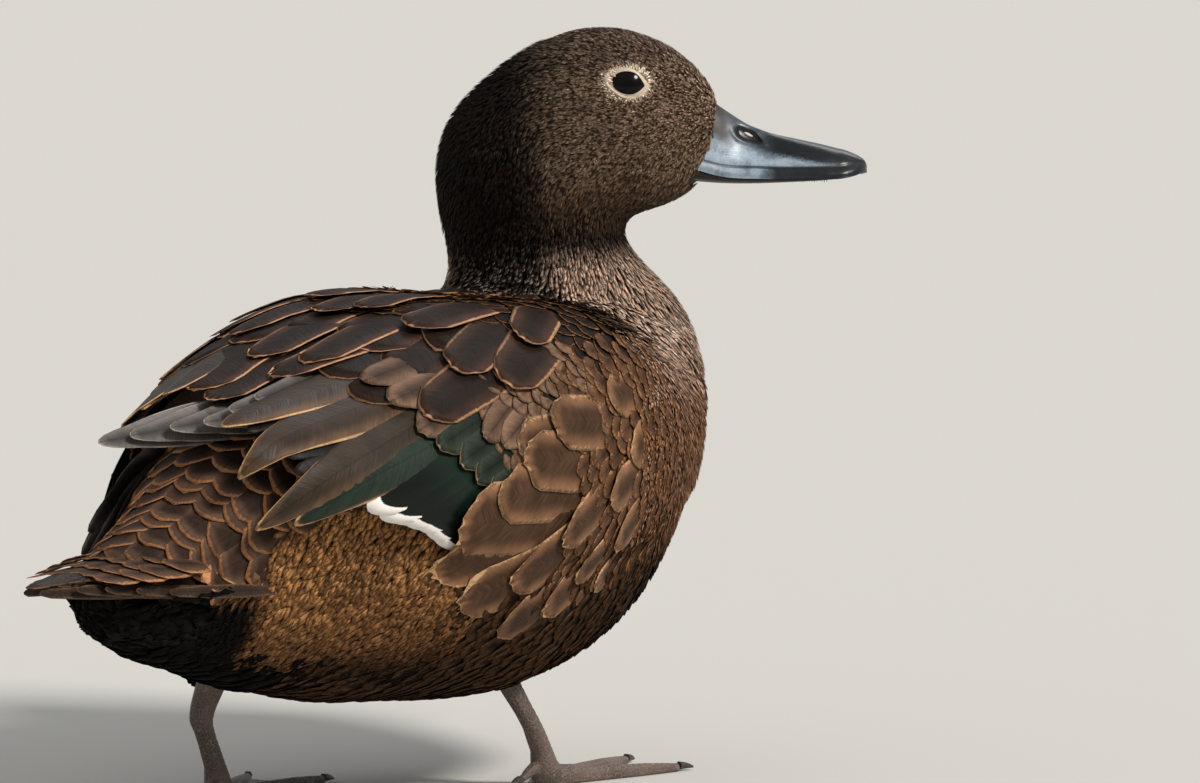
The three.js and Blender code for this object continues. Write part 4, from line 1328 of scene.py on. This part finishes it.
def dress_bundle():
    """The left wing's long inner feathers, which reach straight back over the rump past the right wing's."""
    coat = Coat(48)
    form = Form(16, 9, tip=1.3, taper=0.45, narrow=0.7, end=0.3, camber=0.04, thickness=0.3)
    tips = (
        (-119, 9, 102), (-109, 6, 102.6), (-98, 1, 103.6), (-92, -5, 104.5), (-85, -8, 107), (-76, -10, 109),
    )
    roots = (
        (-46, 2, 104), (-44, -2, 104.5), (-43, -6, 105), (-41, -12, 106), (-36, -14, 109), (-30, -16, 112),
    )
    lay, length = straight(roots, tips, (0.05, -0.7, 0.7), 0.25)
    width = np.array([14.0, 14, 13, 13, 13, 13])
    ink = Ink(BUNDLE, BUNDLE_EDGE, 0.35, 0.15, shaft=0.4)
    coat.add(lay, length, width, form, ink, row_map(len(tips)))
    material = vane_material("crossed_tertials", roughness=0.55, barbs=0.5, specular=0.12)
    coat.finish("crossed_tertials", material, "flight_feathers")


def speculum_material(name):
    """Glossy black-green feathers with white ends."""
    looks = Looks(name, Specular_IOR_Level=0.2)
    _, end, _ = looks.parts(looks.field("rim"))
    across, along, seed = looks.parts(looks.field("spot"))
    offset = looks.times(seed, APART)
    slant = looks.times(looks.math("ABSOLUTE", across), BARB_SLANT, along)
    fine = looks.noise(looks.vector(slant, looks.times(across, 0.15), offset), 4.0, 2.0)
    reach = looks.times(fine, 0.9, end)
    colour = looks.mix(looks.band(along, 32, 18, 0.1, 0.75), looks.field("ink", "Color"), GLOSS_GREEN)
    colour = looks.mix(looks.band(reach, 4.1, 4.5), looks.field("trim", "Color"), colour)
    colour = looks.lit(colour, looks.times(fine, 0.35, 0.82))
    return looks.finish(colour, 0.32, fine, 0.5, 0.06)


TAIL_PAIRS = 7


def tail_lay(root, way, lift):
    """How to lay feathers flat over the tail, at a height above it."""
    side = unit(np.cross(UP, way))

    def lay(along, across):
        flat = root + along[..., None] * way + across[..., None] * side
        near, normals = tail_surface.nearest(flat + UP * 4)
        return near * [0, 0, 1] + flat * [1, 1, 0] + UP * lift, unit(normals + UP)

    return lay


def dress_tail():
    """Fourteen closed tail feathers, the middle pair longest and on top."""
    coat = Coat(51)
    form = Form(12, 7, tip=0.8, taper=0.3, narrow=0.8, root=-0.3, end=-0.1, camber=0.03, thickness=0.3)
    for index in range(TAIL_PAIRS)[::-1]:
        share = index / (TAIL_PAIRS - 1)
        for side in (-1, 1):
            root = np.array([[-104.0, side * (1.5 + 9 * share), 76 - 8 * share ** 2]])
            tip = np.array([[-167 + 30 * share, side * (0.6 + 6 * share), 69 - 8 * share ** 2]])
            way = tip - root
            length = np.linalg.norm(way, axis=1)
            lay = tail_lay(root[0], unit(way)[0], 0.12 * (TAIL_PAIRS - index))
            ink = Ink(TAIL, TAIL_EDGE, 0.6, 0.2, sides=side)
            number = 2 * index + (side + 1) // 2
            coat.add(lay, length, np.array([6.0 + 5 * share]), form, ink, row_map(1, number, 2 * TAIL_PAIRS))
    material = vane_material("tail_plumage", roughness=0.55, barbs=0.5, specular=0.15)
    coat.finish("tail_feathers", material, "flight_feathers")


def dress_tail_base():
    """Rows of scales like the rump's that run on over the tail."""
    coat = Coat(53)
    rows = ((-110, 17, 7), (-118, 16, 7), (-126, 14, 6), (-134, 11, 5))  # x, half the row's width, feathers
    roots = np.array([(x, y, 74.0) for x, half, count in rows for y in np.linspace(-half, half, count)])
    order = np.repeat(np.arange(len(rows))[::-1], [count for _, _, count in rows])
    way = unit(np.stack([-np.ones(len(roots)), -0.016 * roots[:, 1], np.zeros(len(roots))], 1))
    lift = 1.1 + 0.25 * order
    lay = tail_lay(roots[:, None, None], way[:, None, None], lift[:, None, None, None])
    length = 15.0 * coat.rng.uniform(0.92, 1.08, len(roots))
    ink = Ink(RUMP, RUMP_EDGE, 1.0, 0.5)
    coat.add(lay, length, np.full(len(roots), 9.5), TAIL_SCALE, ink, body_map(roots))
    material = vane_material("tail_base_plumage", roughness=0.6, barbs=0.5, specular=0.08)
    coat.finish("tail_base_scales", material)


def dress_tail_sides():
    """Long narrow feathers along either edge of the tail, from under the rump's scales to its tip."""
    coat = Coat(52)
    form = Form(14, 5, tip=1.1, taper=0.35, narrow=0.5, root=-2.4, end=0.2, camber=0.05, thickness=0.3)
    roots = np.array([
        (-80, 24.5, 64), (-90, 22.5, 64.3), (-102, 20, 65.2), (-112, 18.5, 66.5), (-122, 16, 68),
    ])
    tips = np.array([
        (-128, 17, 67.5), (-139, 14, 69), (-148, 10.5, 70.2), (-156, 7, 70.8), (-166, 2.5, 70.6),
    ])
    count = len(roots)
    ink = Ink(TAIL_SIDE, TAIL_EDGE, 0.4, 0.4)
    for number, side in enumerate((1, -1)):
        mirror = np.array([1, side, 1])
        lay, length = straight(roots * mirror, tips * mirror, (0.1, side, 0.35), -0.15)
        coat.add(lay, length, np.full(count, 3.8), form, ink, row_map(count, number * count, 2 * count))
    material = vane_material("tail_side_plumage", roughness=0.6, barbs=0.6, specular=0.1)
    coat.finish("tail_side_feathers", material, "flight_feathers")


dress_upper()
dress_body()
dress_wing("right", 1)
dress_wing("left", -1)
dress_bundle()
dress_tail()
dress_tail_base()
dress_tail_sides()

# ---------------------------------------------------------------- bill, eyes and lids

NOSTRIL = np.array([30.6, -13.0])  # ahead and up
NOSTRIL_SLOPE = math.radians(-29)
NOSTRIL_SIZE = np.array([4.1, 1.7])  # half the length and height of its hollow
NOSTRIL_HOLE = np.array([1.3, 0.42])


def nostril_distance(x, z):
    """0 at the nostril's middle and 1 at the rim of its hollow, which narrows ahead."""
    dx, dz = x - NOSTRIL[0], z - NOSTRIL[1]
    ahead = dx * math.cos(NOSTRIL_SLOPE) + dz * math.sin(NOSTRIL_SLOPE)
    up = dz * math.cos(NOSTRIL_SLOPE) - dx * math.sin(NOSTRIL_SLOPE)
    narrower = 1 - 0.4 * np.clip(ahead / NOSTRIL_SIZE[0], -0.5, 1)
    return np.hypot(ahead / NOSTRIL_SIZE[0], up / NOSTRIL_SIZE[1] / narrower)


def between_rings(index):
    """Quads between each ring of points and the next, and from the last ring round to the first."""
    after = np.roll(index, -1, 1)
    return np.stack([index, after, np.roll(after, -1, 0), np.roll(index, -1, 0)], -1)


def head_mesh(name, rings):
    """A closed mesh over rings of points, given in the head's axes, with a cap at each end."""
    index = np.arange(rings.shape[0] * rings.shape[1]).reshape(rings.shape[:2])
    quads = between_rings(index)[:-1].reshape(-1, 4)
    faces = quads.tolist() + [index[0, ::-1].tolist(), index[-1].tolist()]
    return plain_mesh(name, from_head(rings.reshape(-1, 3)), faces)


def bump(distance, width):
    """1 in the middle, falling off smoothly on either side."""
    return np.exp(-(distance / width) ** 2)


def upper_bill():
    """Grooved above its edge, ridged along the top, with a nail at its tip and nostrils right through."""
    steps, sides = 150, 97
    x = BILL_ROOT + (BILL_TIP - BILL_ROOT) * np.sin(np.linspace(0, 1, steps) * math.pi / 2)[:, None]
    w = np.sin(np.linspace(-1, 1, sides) * math.pi / 2)[None]
    culmen, tomium, half = (curve(stations, x) for stations in (CULMEN, TOMIUM, BILL_WIDTH))
    power = BASE_POWER - 0.75 * ease(x, 21, 29) + 1.5 * ease(x, 30, 46)
    share = 1 - np.abs(w) ** power
    z = tomium + (culmen - tomium) * share
    y = w * half
    over_edge = z - tomium
    side = np.sign(w)
    lip = 0.35 * bump(over_edge - 1.3, 0.85) - 0.28 * bump(over_edge - 2.9, 0.4)
    y = y + side * lip * ease(x, 13, 18) * ease(np.abs(w), 0.5, 0.75)
    near = nostril_distance(x, z)
    hollow = 0.3 * bump(near - 1.12, 0.2) - 0.75 * ease(near, 1.0, 0.7)
    y = y + side * hollow * ease(np.abs(w), 0.08, 0.3)
    nail = ease(x, 53.0, 55.0) * ease(np.abs(w), 0.55, 0.4)
    z = z + 0.15 * nail + 0.12 * bump(np.abs(w), 0.05) * ease(x, 30, 34)
    top = np.stack([np.broadcast_to(x, z.shape), y, z], -1)
    palate = top[:, -2:0:-1].copy()
    inner = w[:, -2:0:-1]
    palate[..., 1] = inner * half * 0.96
    hook = 0.9 * bump(inner, 0.45) * ease(x, 57.5, 59.5)
    palate[..., 2] = tomium + 0.9 * (1 - inner ** 2) * ease(x, 59, 50) + 0.05 - hook
    rings = np.concatenate([top, palate], 1)
    thing = piece("upper_bill", head_mesh("bill_upper_shape", rings[:, ::-1]), bill_material())
    cut_nostrils(thing)
    here = to_head(mesh_arrays(thing.data)[0])
    x, y, z = here.T
    over_edge = z - curve(TOMIUM, x)
    # painted shade: the nostril's hollow is marked near black; the underside within the bill's edge is marked
    # dark too
    hollow = ease(nostril_distance(x, z), 1.08, 0.9)
    below = (over_edge < 0.06 + 0.9 * ease(x, 59, 50)) & (np.abs(y) < curve(BILL_WIDTH, x) * 0.93)
    share = over_edge / (curve(CULMEN, x) - curve(TOMIUM, x))
    write_field(thing.data, "bill", np.stack([x, share, over_edge], 1))
    write_field(thing.data, "dark", np.maximum(hollow, below)[:, None])
    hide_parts("bill_upper")


def cut_nostrils(thing):
    """One oval tunnel from side to side."""
    angles = np.linspace(0, 2 * math.pi, 24, endpoint=False)
    ahead = np.cos(angles) * NOSTRIL_HOLE[0]
    up = np.sin(angles) * NOSTRIL_HOLE[1]
    x = NOSTRIL[0] + ahead * math.cos(NOSTRIL_SLOPE) - up * math.sin(NOSTRIL_SLOPE)
    z = NOSTRIL[1] + ahead * math.sin(NOSTRIL_SLOPE) + up * math.cos(NOSTRIL_SLOPE)
    rings = np.stack([np.stack([x, np.full_like(x, y), z], -1) for y in (12.0, -12.0)])
    mesh = head_mesh("nostril_shape", rings)
    mesh.materials.append(thing.data.materials[0])
    cutter = bpy.data.objects.new("nostril_cutter", mesh)
    bpy.context.collection.objects.link(cutter)
    cut = thing.modifiers.new("nostrils", "BOOLEAN")
    cut.operation = "DIFFERENCE"
    cut.object = cutter
    cut.solver = "EXACT"
    graph = bpy.context.evaluated_depsgraph_get()
    mesh = bpy.data.meshes.new_from_object(thing.evaluated_get(graph))
    thing.modifiers.clear()
    thing.data = mesh
    bpy.data.objects.remove(cutter)


def lower_bill():
    """A shallow scoop that closes inside the upper bill."""
    steps, sides = 70, 25
    tip = BILL_TIP - 2.2
    x = BILL_ROOT + (tip - BILL_ROOT) * np.sin(np.linspace(0, 1, steps) * math.pi / 2)[:, None]
    angle = np.linspace(0, math.pi, sides)[None]
    half = curve(BILL_WIDTH, x + 2.4) * 0.86
    rim = curve(TOMIUM, x) - 0.2
    keel = np.minimum(curve(KEEL, x) + 0.7, rim - 0.3)
    y = np.cos(angle) * half
    z = rim - (rim - keel) * np.sin(angle) ** 0.8
    under = np.stack([np.broadcast_to(x, z.shape), y, z], -1)
    inside = under[:, -2:0:-1].copy()
    inside[..., 2] = rim - 0.5 * np.sin(angle[:, -2:0:-1])
    rings = np.concatenate([under, inside], 1)[:, ::-1]
    mesh = head_mesh("bill_lower_shape", rings)
    thing = piece("lower_bill", mesh, dark_bill_material())
    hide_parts("bill_lower")


LAMELLA_TOP = 0.25  # above the bill's edge
LAMELLA_CORNERS = (  # along, in from the side, and share of the drop below the edge, or 0 for the top
    (-0.17, 0.0, 0), (0.17, 0.0, 0), (0.17, 1.0, 0), (-0.17, 1.0, 0),
    (-0.05, 0.15, 1), (0.05, 0.15, 1), (0.05, 0.5, 0.8), (-0.05, 0.5, 0.8),
)
LAMELLA_FACES = ((0, 1, 2, 3), (7, 6, 5, 4), (0, 4, 5, 1), (1, 5, 6, 2), (2, 6, 7, 3), (3, 7, 4, 0))


def lamellae():
    """The comb of fine plates that hangs from the upper bill's edges."""
    points, faces = [], []
    for side in (-1, 1):
        for x in np.arange(20.0, 51.0, 0.62):
            half = float(curve(BILL_WIDTH, x)) * 0.93
            edge = float(curve(TOMIUM, x))
            drop = 0.75 + 0.15 * math.sin(x * 2.3) + 0.55 * bump(x - 32, 3)
            base = len(points)
            for ahead, inward, share in LAMELLA_CORNERS:
                height = -drop * share if share else LAMELLA_TOP
                points.append((x + ahead, side * (half - inward), edge + height))
            for face in LAMELLA_FACES:
                faces.append([base + p for p in (face if side < 0 else face[::-1])])
    mesh = plain_mesh("lamellae", from_head(points), faces, smooth=False)
    piece("lamellae", mesh, dark_bill_material("lamella", "#34383a"))


def bill_material():
    """Slate blue on the side, paler low down towards the face: its own paler blue and a painted highlight.
    Near black along the ridge, nail and front edge; the groove above the edge and the nostril's hollow
    darkened as painted shade; dark grey-brown on top where it meets the face.
    """
    looks = Looks("bill_horn", Specular_IOR_Level=0.4, Coat_Weight=0.15, Coat_Roughness=0.3)
    x, share, height = looks.parts(looks.field("bill"))
    here = looks.place()
    cloud = looks.noise(here, 0.35, 3.0)
    fine = looks.noise(here, 2.2, 4.0, 0.6)
    lane = looks.vector(looks.times(x, 0.15), looks.times(share, 6.0), height)
    scratch = looks.noise(lane, 2.2, 2.0)
    slate = looks.mix(looks.band(cloud, 0.35, 0.65), rgb("#3c4650"), rgb("#5b6874"))
    # pale: the side's own paler blue, brightened as a painted highlight on the lower side towards the base
    pale = looks.times(looks.band(x, 56, 38, 0.3, 1.0), looks.band(share, 0.7, 0.45))
    slate = looks.mix(looks.times(pale, looks.band(cloud, 0.2, 0.6, 0.35, 1.0)), slate, rgb("#a3b3c2"))
    worn = looks.times(fine, 0.35, share)
    edge = looks.times(looks.band(x, 30, 56), -0.14, 0.66)
    ridge = looks.band(looks.math("SUBTRACT", worn, edge), 0.04, 0.2)
    ridge = looks.times(ridge, looks.band(x, 30, 38))
    lip = looks.times(looks.band(height, 3.1, 2.7), looks.band(x, 32, 38, 0.2, 1.0))
    front = looks.times(looks.band(x, 56.5, 59), 0.85)
    dark = looks.math("MAXIMUM", looks.math("MAXIMUM", ridge, lip), front)
    colour = looks.mix(looks.times(dark, 0.97), slate, rgb("#07090d"))
    # painted shade: a dark line along the groove above the bill's edge
    groove_shade = looks.times(looks.band(height, 2.3, 2.6), looks.band(height, 3.3, 3.0))
    colour = looks.mix(looks.times(groove_shade, 0.8), colour, rgb("#15181b"))
    base = looks.times(looks.band(x, 28, 23.5), looks.band(share, 0.35, 0.65))
    colour = looks.mix(looks.times(base, 0.8), colour, rgb("#3b3531"))
    colour = looks.lit(colour, looks.times(fine, 0.7, 0.6))
    colour = looks.lit(colour, looks.times(scratch, 0.4, 0.8))
    # painted shade in the nostril's hollow, and the dark underside within the edge
    colour = looks.mix(looks.field("dark", "Fac"), colour, rgb("#0e0c0b"))
    rough = looks.times(base, 0.4, looks.times(fine, 0.3, 0.16))
    return looks.finish(colour, rough, looks.math("ADD", fine, scratch), 0.4, 0.08)


def dark_bill_material(name="bill_dark", colour="#0f0e0e"):
    """Dark cloudy horn."""
    looks = Looks(name, Specular_IOR_Level=0.5)
    fine = looks.noise(looks.place(), 1.6, 4.0)
    shade = looks.mix(looks.band(fine, 0.35, 0.7), rgb(colour), rgb("#282624"))
    return looks.finish(shade, looks.times(fine, 0.3, 0.3), fine, 0.4, 0.08)


EYE_RADIUS = 6.2
EYE_DEEP = 1.3  # its middle lies this much further in than the CAD's smaller ball
EYE_TILT = math.radians(-9)
PUPIL = 0.33  # radians from the eyeball's axis


def eye_axes(side):
    """The eyeball's middle in the head's axes, and which way is out."""
    out = 1.0 if side == "left" else -1.0
    return to_head(EYES[side]) - [0, out * EYE_DEEP, 0], out


def opening(reach, turn):
    """Places ahead of and above the eyeball's middle, at a reach in openings: pointed ahead, and tilted."""
    corner = 1 - 0.6 * np.maximum(np.cos(turn), 0) ** 3
    wide = np.cos(turn) * LID_WIDE * reach
    high = np.sin(turn) * LID_HIGH * (1 + 0.06 * np.sin(turn)) * corner * reach
    x = LID_SHIFT[0] + wide * math.cos(EYE_TILT) - high * math.sin(EYE_TILT)
    z = LID_SHIFT[2] + wide * math.sin(EYE_TILT) + high * math.cos(EYE_TILT)
    return x, z


def eyeball(side):
    """Cornea and a near-black brown iris round a black pupil."""
    centre, out = eye_axes(side)
    turn = np.linspace(0, 2 * math.pi, 48, endpoint=False)[None]
    x, z = opening(np.linspace(0.01, 1.13, 24)[:, None], turn)
    polar = np.arcsin(np.hypot(x, z) / EYE_RADIUS)
    bulge = 0.035 * EYE_RADIUS * bump(polar, 0.55)
    shape = np.stack([x, out * (np.sqrt(EYE_RADIUS ** 2 - x ** 2 - z ** 2) + bulge), z], -1)
    if out < 0:
        shape = shape[:, ::-1]
        polar = polar[:, ::-1]
    mesh = head_mesh(f"eye_shape_{side}", shape + centre)
    write_field(mesh, "reach", polar.reshape(-1, 1))
    wet = {"Roughness": 0.16, "Specular_IOR_Level": 0.12, "Coat_Weight": 0.1, "Coat_Roughness": 0.05}
    looks = Looks(f"eye_{side}", **wet)
    reach = looks.field("reach", "Fac")
    speckle = looks.noise(looks.place(), 2.5, 3.0)
    iris = looks.mix(speckle, rgb("#060404"), rgb("#120b07"))
    colour = looks.mix(looks.band(reach, PUPIL - 0.03, PUPIL + 0.03), rgb("#030303"), iris)
    colour = looks.mix(looks.band(reach, 0.78, 0.95), colour, rgb("#0c0806"))
    thing = piece(f"eyeball_{side}", mesh, looks.finish(colour))
    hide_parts(f"eye_{side}")


LID_PROFILE = np.array([  # reach in openings, height above the eyeball
    (0.95, -0.35), (0.965, 0.02), (1.0, 0.15), (1.05, 0.2), (1.1, 0.18), (1.18, 0.12),
])
LID_SKIRT = np.array([  # reach in openings, height above the head's surface
    (1.32, 0.12), (1.5, 0.02), (1.75, -0.12), (1.95, -0.4), (2.0, -1.2),
])


def eyelids(side):
    """A fold of skin round the opening: on the eyeball, thicker above, and out under the coat."""
    centre, out = eye_axes(side)
    turn = np.linspace(0, 2 * math.pi, 72, endpoint=False)[None]
    reach = np.concatenate([LID_PROFILE, LID_SKIRT])[:, :1]
    x, z = opening(reach, turn)
    ball, rest = slice(0, len(LID_PROFILE)), slice(len(LID_PROFILE), None)
    fold = 1 + 0.4 * np.maximum(np.sin(turn), 0)
    wrinkle = 0.05 * np.sin(turn * 17) * ease(reach[ball], 1.0, 1.2)
    radius = EYE_RADIUS + LID_PROFILE[:, 1:] * fold + wrinkle
    y = np.sqrt(np.maximum(radius ** 2 - x[ball] ** 2 - z[ball] ** 2, 0.4))
    lids = np.stack([x[ball], out * y, z[ball]], -1) + centre
    flat = np.stack([x, out * 4 + 0 * x, z], -1)[rest] + centre
    near, normals = whole.nearest(from_head(flat))
    ruffle = 0.06 * np.sin(turn * 23 + reach[rest] * 9)
    outer = to_head(near + normals * (LID_SKIRT[:, 1:] + ruffle)[..., None])
    shape = np.concatenate([lids, outer])
    index = np.arange(shape.shape[0] * shape.shape[1]).reshape(shape.shape[:2])
    faces = between_rings(index).reshape(-1, 4)[:, ::round(out)]
    mesh = plain_mesh(f"eyelids_{side}", from_head(shape.reshape(-1, 3)), faces.tolist())
    write_field(mesh, "reach", np.broadcast_to(reach, index.shape).reshape(-1, 1))
    looks = Looks(f"lid_{side}", Specular_IOR_Level=0.4)
    reach = looks.field("reach", "Fac")
    fine = looks.noise(looks.place(), 3.0, 3.0)
    colour = looks.mix(looks.band(reach, 0.99, 1.05), rgb("#15110f"), rgb("#c9b9a3"))
    colour = looks.mix(looks.band(reach, 1.36, 1.6), colour, rgb("#6b5747"))
    colour = looks.lit(colour, looks.times(fine, 0.9, 0.55))
    piece(f"eyelids_{side}", mesh, looks.finish(colour, 0.5, fine, 0.5, 0.1))


# ---------------------------------------------------------------- legs and feet

SOLE = 0.35  # below this height a foot keeps its flat sole
SHANK_LOW = 9.0
SCUTE = 1.9  # one scute's length
HEEL_BEHIND = 25.0  # from the middle of the foot back to where the rows of scutes on its toes are centred
THIGH = (2.0, 7.0, 6.0)  # how far a leg runs on ahead, inward and up through the coat


def leg(side):
    """Shank, toes and webs in one skin, with rows of scutes and a fine net of scales."""
    names = (f"leg_{side}", f"foot_{side}")
    points, triangles = fused(names, swell=0.3, voxel=0.42, rounds=3)
    foot = middle(names[1])
    normals = vertex_normals(points, triangles)
    top = points[:, 2].max()
    hidden = ease(points[:, 2], top - 14, top - 2)
    points += hidden[:, None] * np.array(THIGH) * [1, -1 if side == "left" else 1, 1]
    from_heel = np.hypot(points[:, 0] - foot[0] + HEEL_BEHIND, points[:, 1] - foot[1])
    run = np.where(points[:, 2] > SHANK_LOW, points[:, 2] * 1.1, from_heel)
    scute = np.abs(np.mod(run / SCUTE, 1) - 0.5) * 2
    upper = ease(normals[:, 2] + ease(points[:, 2], 8, 14) * normals[:, 0] * 2, 0.1, 0.7)
    relief = (ease(scute, 0.95, 0.7) - 1) * 0.16 * upper
    points = points + normals * (relief * ease(points[:, 2], SOLE, 1.2))[:, None]
    points[:, 2] = np.maximum(points[:, 2], 0)
    mesh = plain_mesh(f"leg_{side}", points, triangles.tolist())
    write_field(mesh, "scute", np.stack([scute, upper, run], 1))
    thing = piece(f"leg_and_foot_{side}", mesh, foot_material(side))
    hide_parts(*names)


def foot_material(side):
    """Dark grey-brown scales with pinkish lines between them."""
    looks = Looks(f"foot_{side}", Specular_IOR_Level=0.45)
    scute, upper, _ = looks.parts(looks.field("scute"))
    here = looks.place()
    net = looks.cells(here, 1.1)
    grain = looks.noise(here, 1.4, 3.0)
    scale = looks.mix(looks.band(looks.noise(here, 0.1, 2.0), 0.35, 0.65), rgb("#453c36"), rgb("#5f534a"))
    colour = looks.mix(looks.band(net, 0.09, 0.02), scale, rgb("#80685c"))
    between = looks.times(looks.band(scute, 0.84, 0.97), upper)
    colour = looks.mix(looks.times(between, 0.6), colour, rgb("#8b7064"))
    colour = looks.lit(colour, looks.times(grain, 0.5, 0.72))
    height = looks.math("ADD", looks.band(net, 0.0, 0.16), looks.times(grain, 0.3))
    return looks.finish(colour, looks.times(grain, 0.3, 0.38), height, 0.6, 0.15)


def claws():
    """The CAD's claws, in dark horn."""
    looks = Looks("claw_horn", Specular_IOR_Level=0.5)
    stretched = {0: looks.place(), 1: (0.4, 2.0, 2.0)}
    streak = looks.noise(looks.node("ShaderNodeVectorMath", stretched, operation="MULTIPLY"), 1.5, 3.0)
    colour = looks.mix(looks.band(streak, 0.3, 0.7), rgb("#1f1b18"), rgb("#463c33"))
    horn = looks.finish(colour, looks.times(streak, 0.3, 0.3), streak, 0.4, 0.06)
    for name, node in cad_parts.items():
        if name.startswith("claw"):
            for slot in node.material_slots:
                slot.material = horn


upper_bill()
lower_bill()
lamellae()
for bird_side in ("left", "right"):
    eyeball(bird_side)
    eyelids(bird_side)
    leg(bird_side)
claws()

# ---------------------------------------------------------------- skin


def worn_colours(points):
    """The mean colour of the feathers that lie nearest."""
    places, colours = (np.concatenate(part) for part in zip(*Coat.worn))
    tree = kdtree.KDTree(len(places))
    for i, place in enumerate(places.tolist()):
        tree.insert(place, i)
    tree.balance()
    nearest = [[i for _, i, _ in tree.find_n(point, 6)] for point in points.tolist()]
    return colours[np.array(nearest)].mean(1)


def skin():
    """The flesh in one piece under the coat, with its markings."""
    names = FLESH + WINGS + EYEBALLS
    points, triangles = fused(names, swell=0.8, voxel=1.5, rounds=4, behind=WING_CUT)
    points = settled(points)
    depth = 2.4 - 1.5 * ease(points[:, 2], 118, 142)
    points = points - vertex_normals(points, triangles) * depth[:, None]
    mesh = plain_mesh("skin", points, triangles.tolist())
    write_field(mesh, "ink", worn_colours(points))
    looks = Looks("under_plumage", Specular_IOR_Level=0.2)
    fine = looks.noise(looks.place(), 1.1, 3.0)
    colour = looks.lit(looks.field("ink"), looks.times(fine, 0.6, 0.4))
    thing = piece("skin", mesh, looks.finish(colour, 0.8, fine, 0.6, 0.3))
    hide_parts("trunk", "neck", "head", "wing_left", "wing_right", "tail")


skin()

# ---------------------------------------------------------------- camera, light and floor

AIM = np.array([59.0, -33.0, 99.0])
VIEW_TURN = math.radians(30)  # the camera looks ahead and to the left of the bird's own way
VIEW_DOWN = math.radians(7)
VIEW_DISTANCE = 9000.0
VIEW_WIDTH = 303.6  # of what the picture takes in at the aim
SENSOR = 36.0


def in_metres(point):
    """A point of the bird's frame as Blender has it."""
    return Vector((np.asarray(point, float) + ORIGIN) * MM)


def looking(thing, target):
    """Turns a camera or light to a target."""
    thing.rotation_euler = (in_metres(target) - thing.location).to_track_quat("-Z", "Y").to_euler()


VIEW = np.array([
    math.cos(VIEW_TURN) * math.cos(VIEW_DOWN),
    math.sin(VIEW_TURN) * math.cos(VIEW_DOWN),
    -math.sin(VIEW_DOWN),
])
TO_RIGHT = unit(np.cross(VIEW, UP))


def camera():
    """A long lens from far off, behind the bird's right side and a little above it."""
    data = bpy.data.cameras.new("camera")
    data.sensor_width = SENSOR
    data.lens = SENSOR * VIEW_DISTANCE / VIEW_WIDTH
    data.clip_end = 100
    thing = bpy.data.objects.new("camera", data)
    bpy.context.collection.objects.link(thing)
    thing.location = in_metres(AIM - VIEW * VIEW_DISTANCE)
    looking(thing, AIM)
    bpy.context.scene.camera = thing


def sun(name, offset, strength, spread, colour):
    """A soft light from far off: offset is how far to the camera's right, towards it and up."""
    data = bpy.data.lights.new(name, "SUN")
    data.angle = math.radians(spread)
    data.energy = strength
    data.color = colour
    thing = bpy.data.objects.new(name, data)
    bpy.context.collection.objects.link(thing)
    right, toward, up = np.array(offset) * 1000
    thing.location = in_metres(AIM + TO_RIGHT * right - VIEW * [1, 1, 0] * toward + UP * up)
    looking(thing, AIM)


def studio():
    """A warm soft key, a faint rim from behind, and an even sky."""
    sun("key", (1.0, 0.75, 1.15), 3.0, 14, (1.0, 0.96, 0.9))
    sun("rim", (0.4, -1.0, 0.9), 0.5, 30, (1.0, 1.0, 1.0))
    world = bpy.data.worlds.new("studio")
    world.use_nodes = True
    sky = world.node_tree.nodes["Background"].inputs
    sky["Color"].default_value = (0.86, 0.88, 0.9, 1)
    sky["Strength"].default_value = 0.45
    bpy.context.scene.world = world
    bpy.context.scene.view_settings.view_transform = "Standard"


def floor():
    """A plain floor to stand on, which is not part of the bird."""
    reach = 8.0
    corners = [(-reach, -reach, 0), (reach, -reach, 0), (reach, reach, 0), (-reach, reach, 0)]
    mesh = bpy.data.meshes.new("floor")
    mesh.from_pydata(corners, [], [(0, 1, 2, 3)])
    looks = Looks("floor", Roughness=0.9, Specular_IOR_Level=0.1)
    mesh.materials.append(looks.finish(rgb("#cfcdc8")))
    thing = bpy.data.objects.new("floor", mesh)
    bpy.context.collection.objects.link(thing)


camera()
studio()
floor()
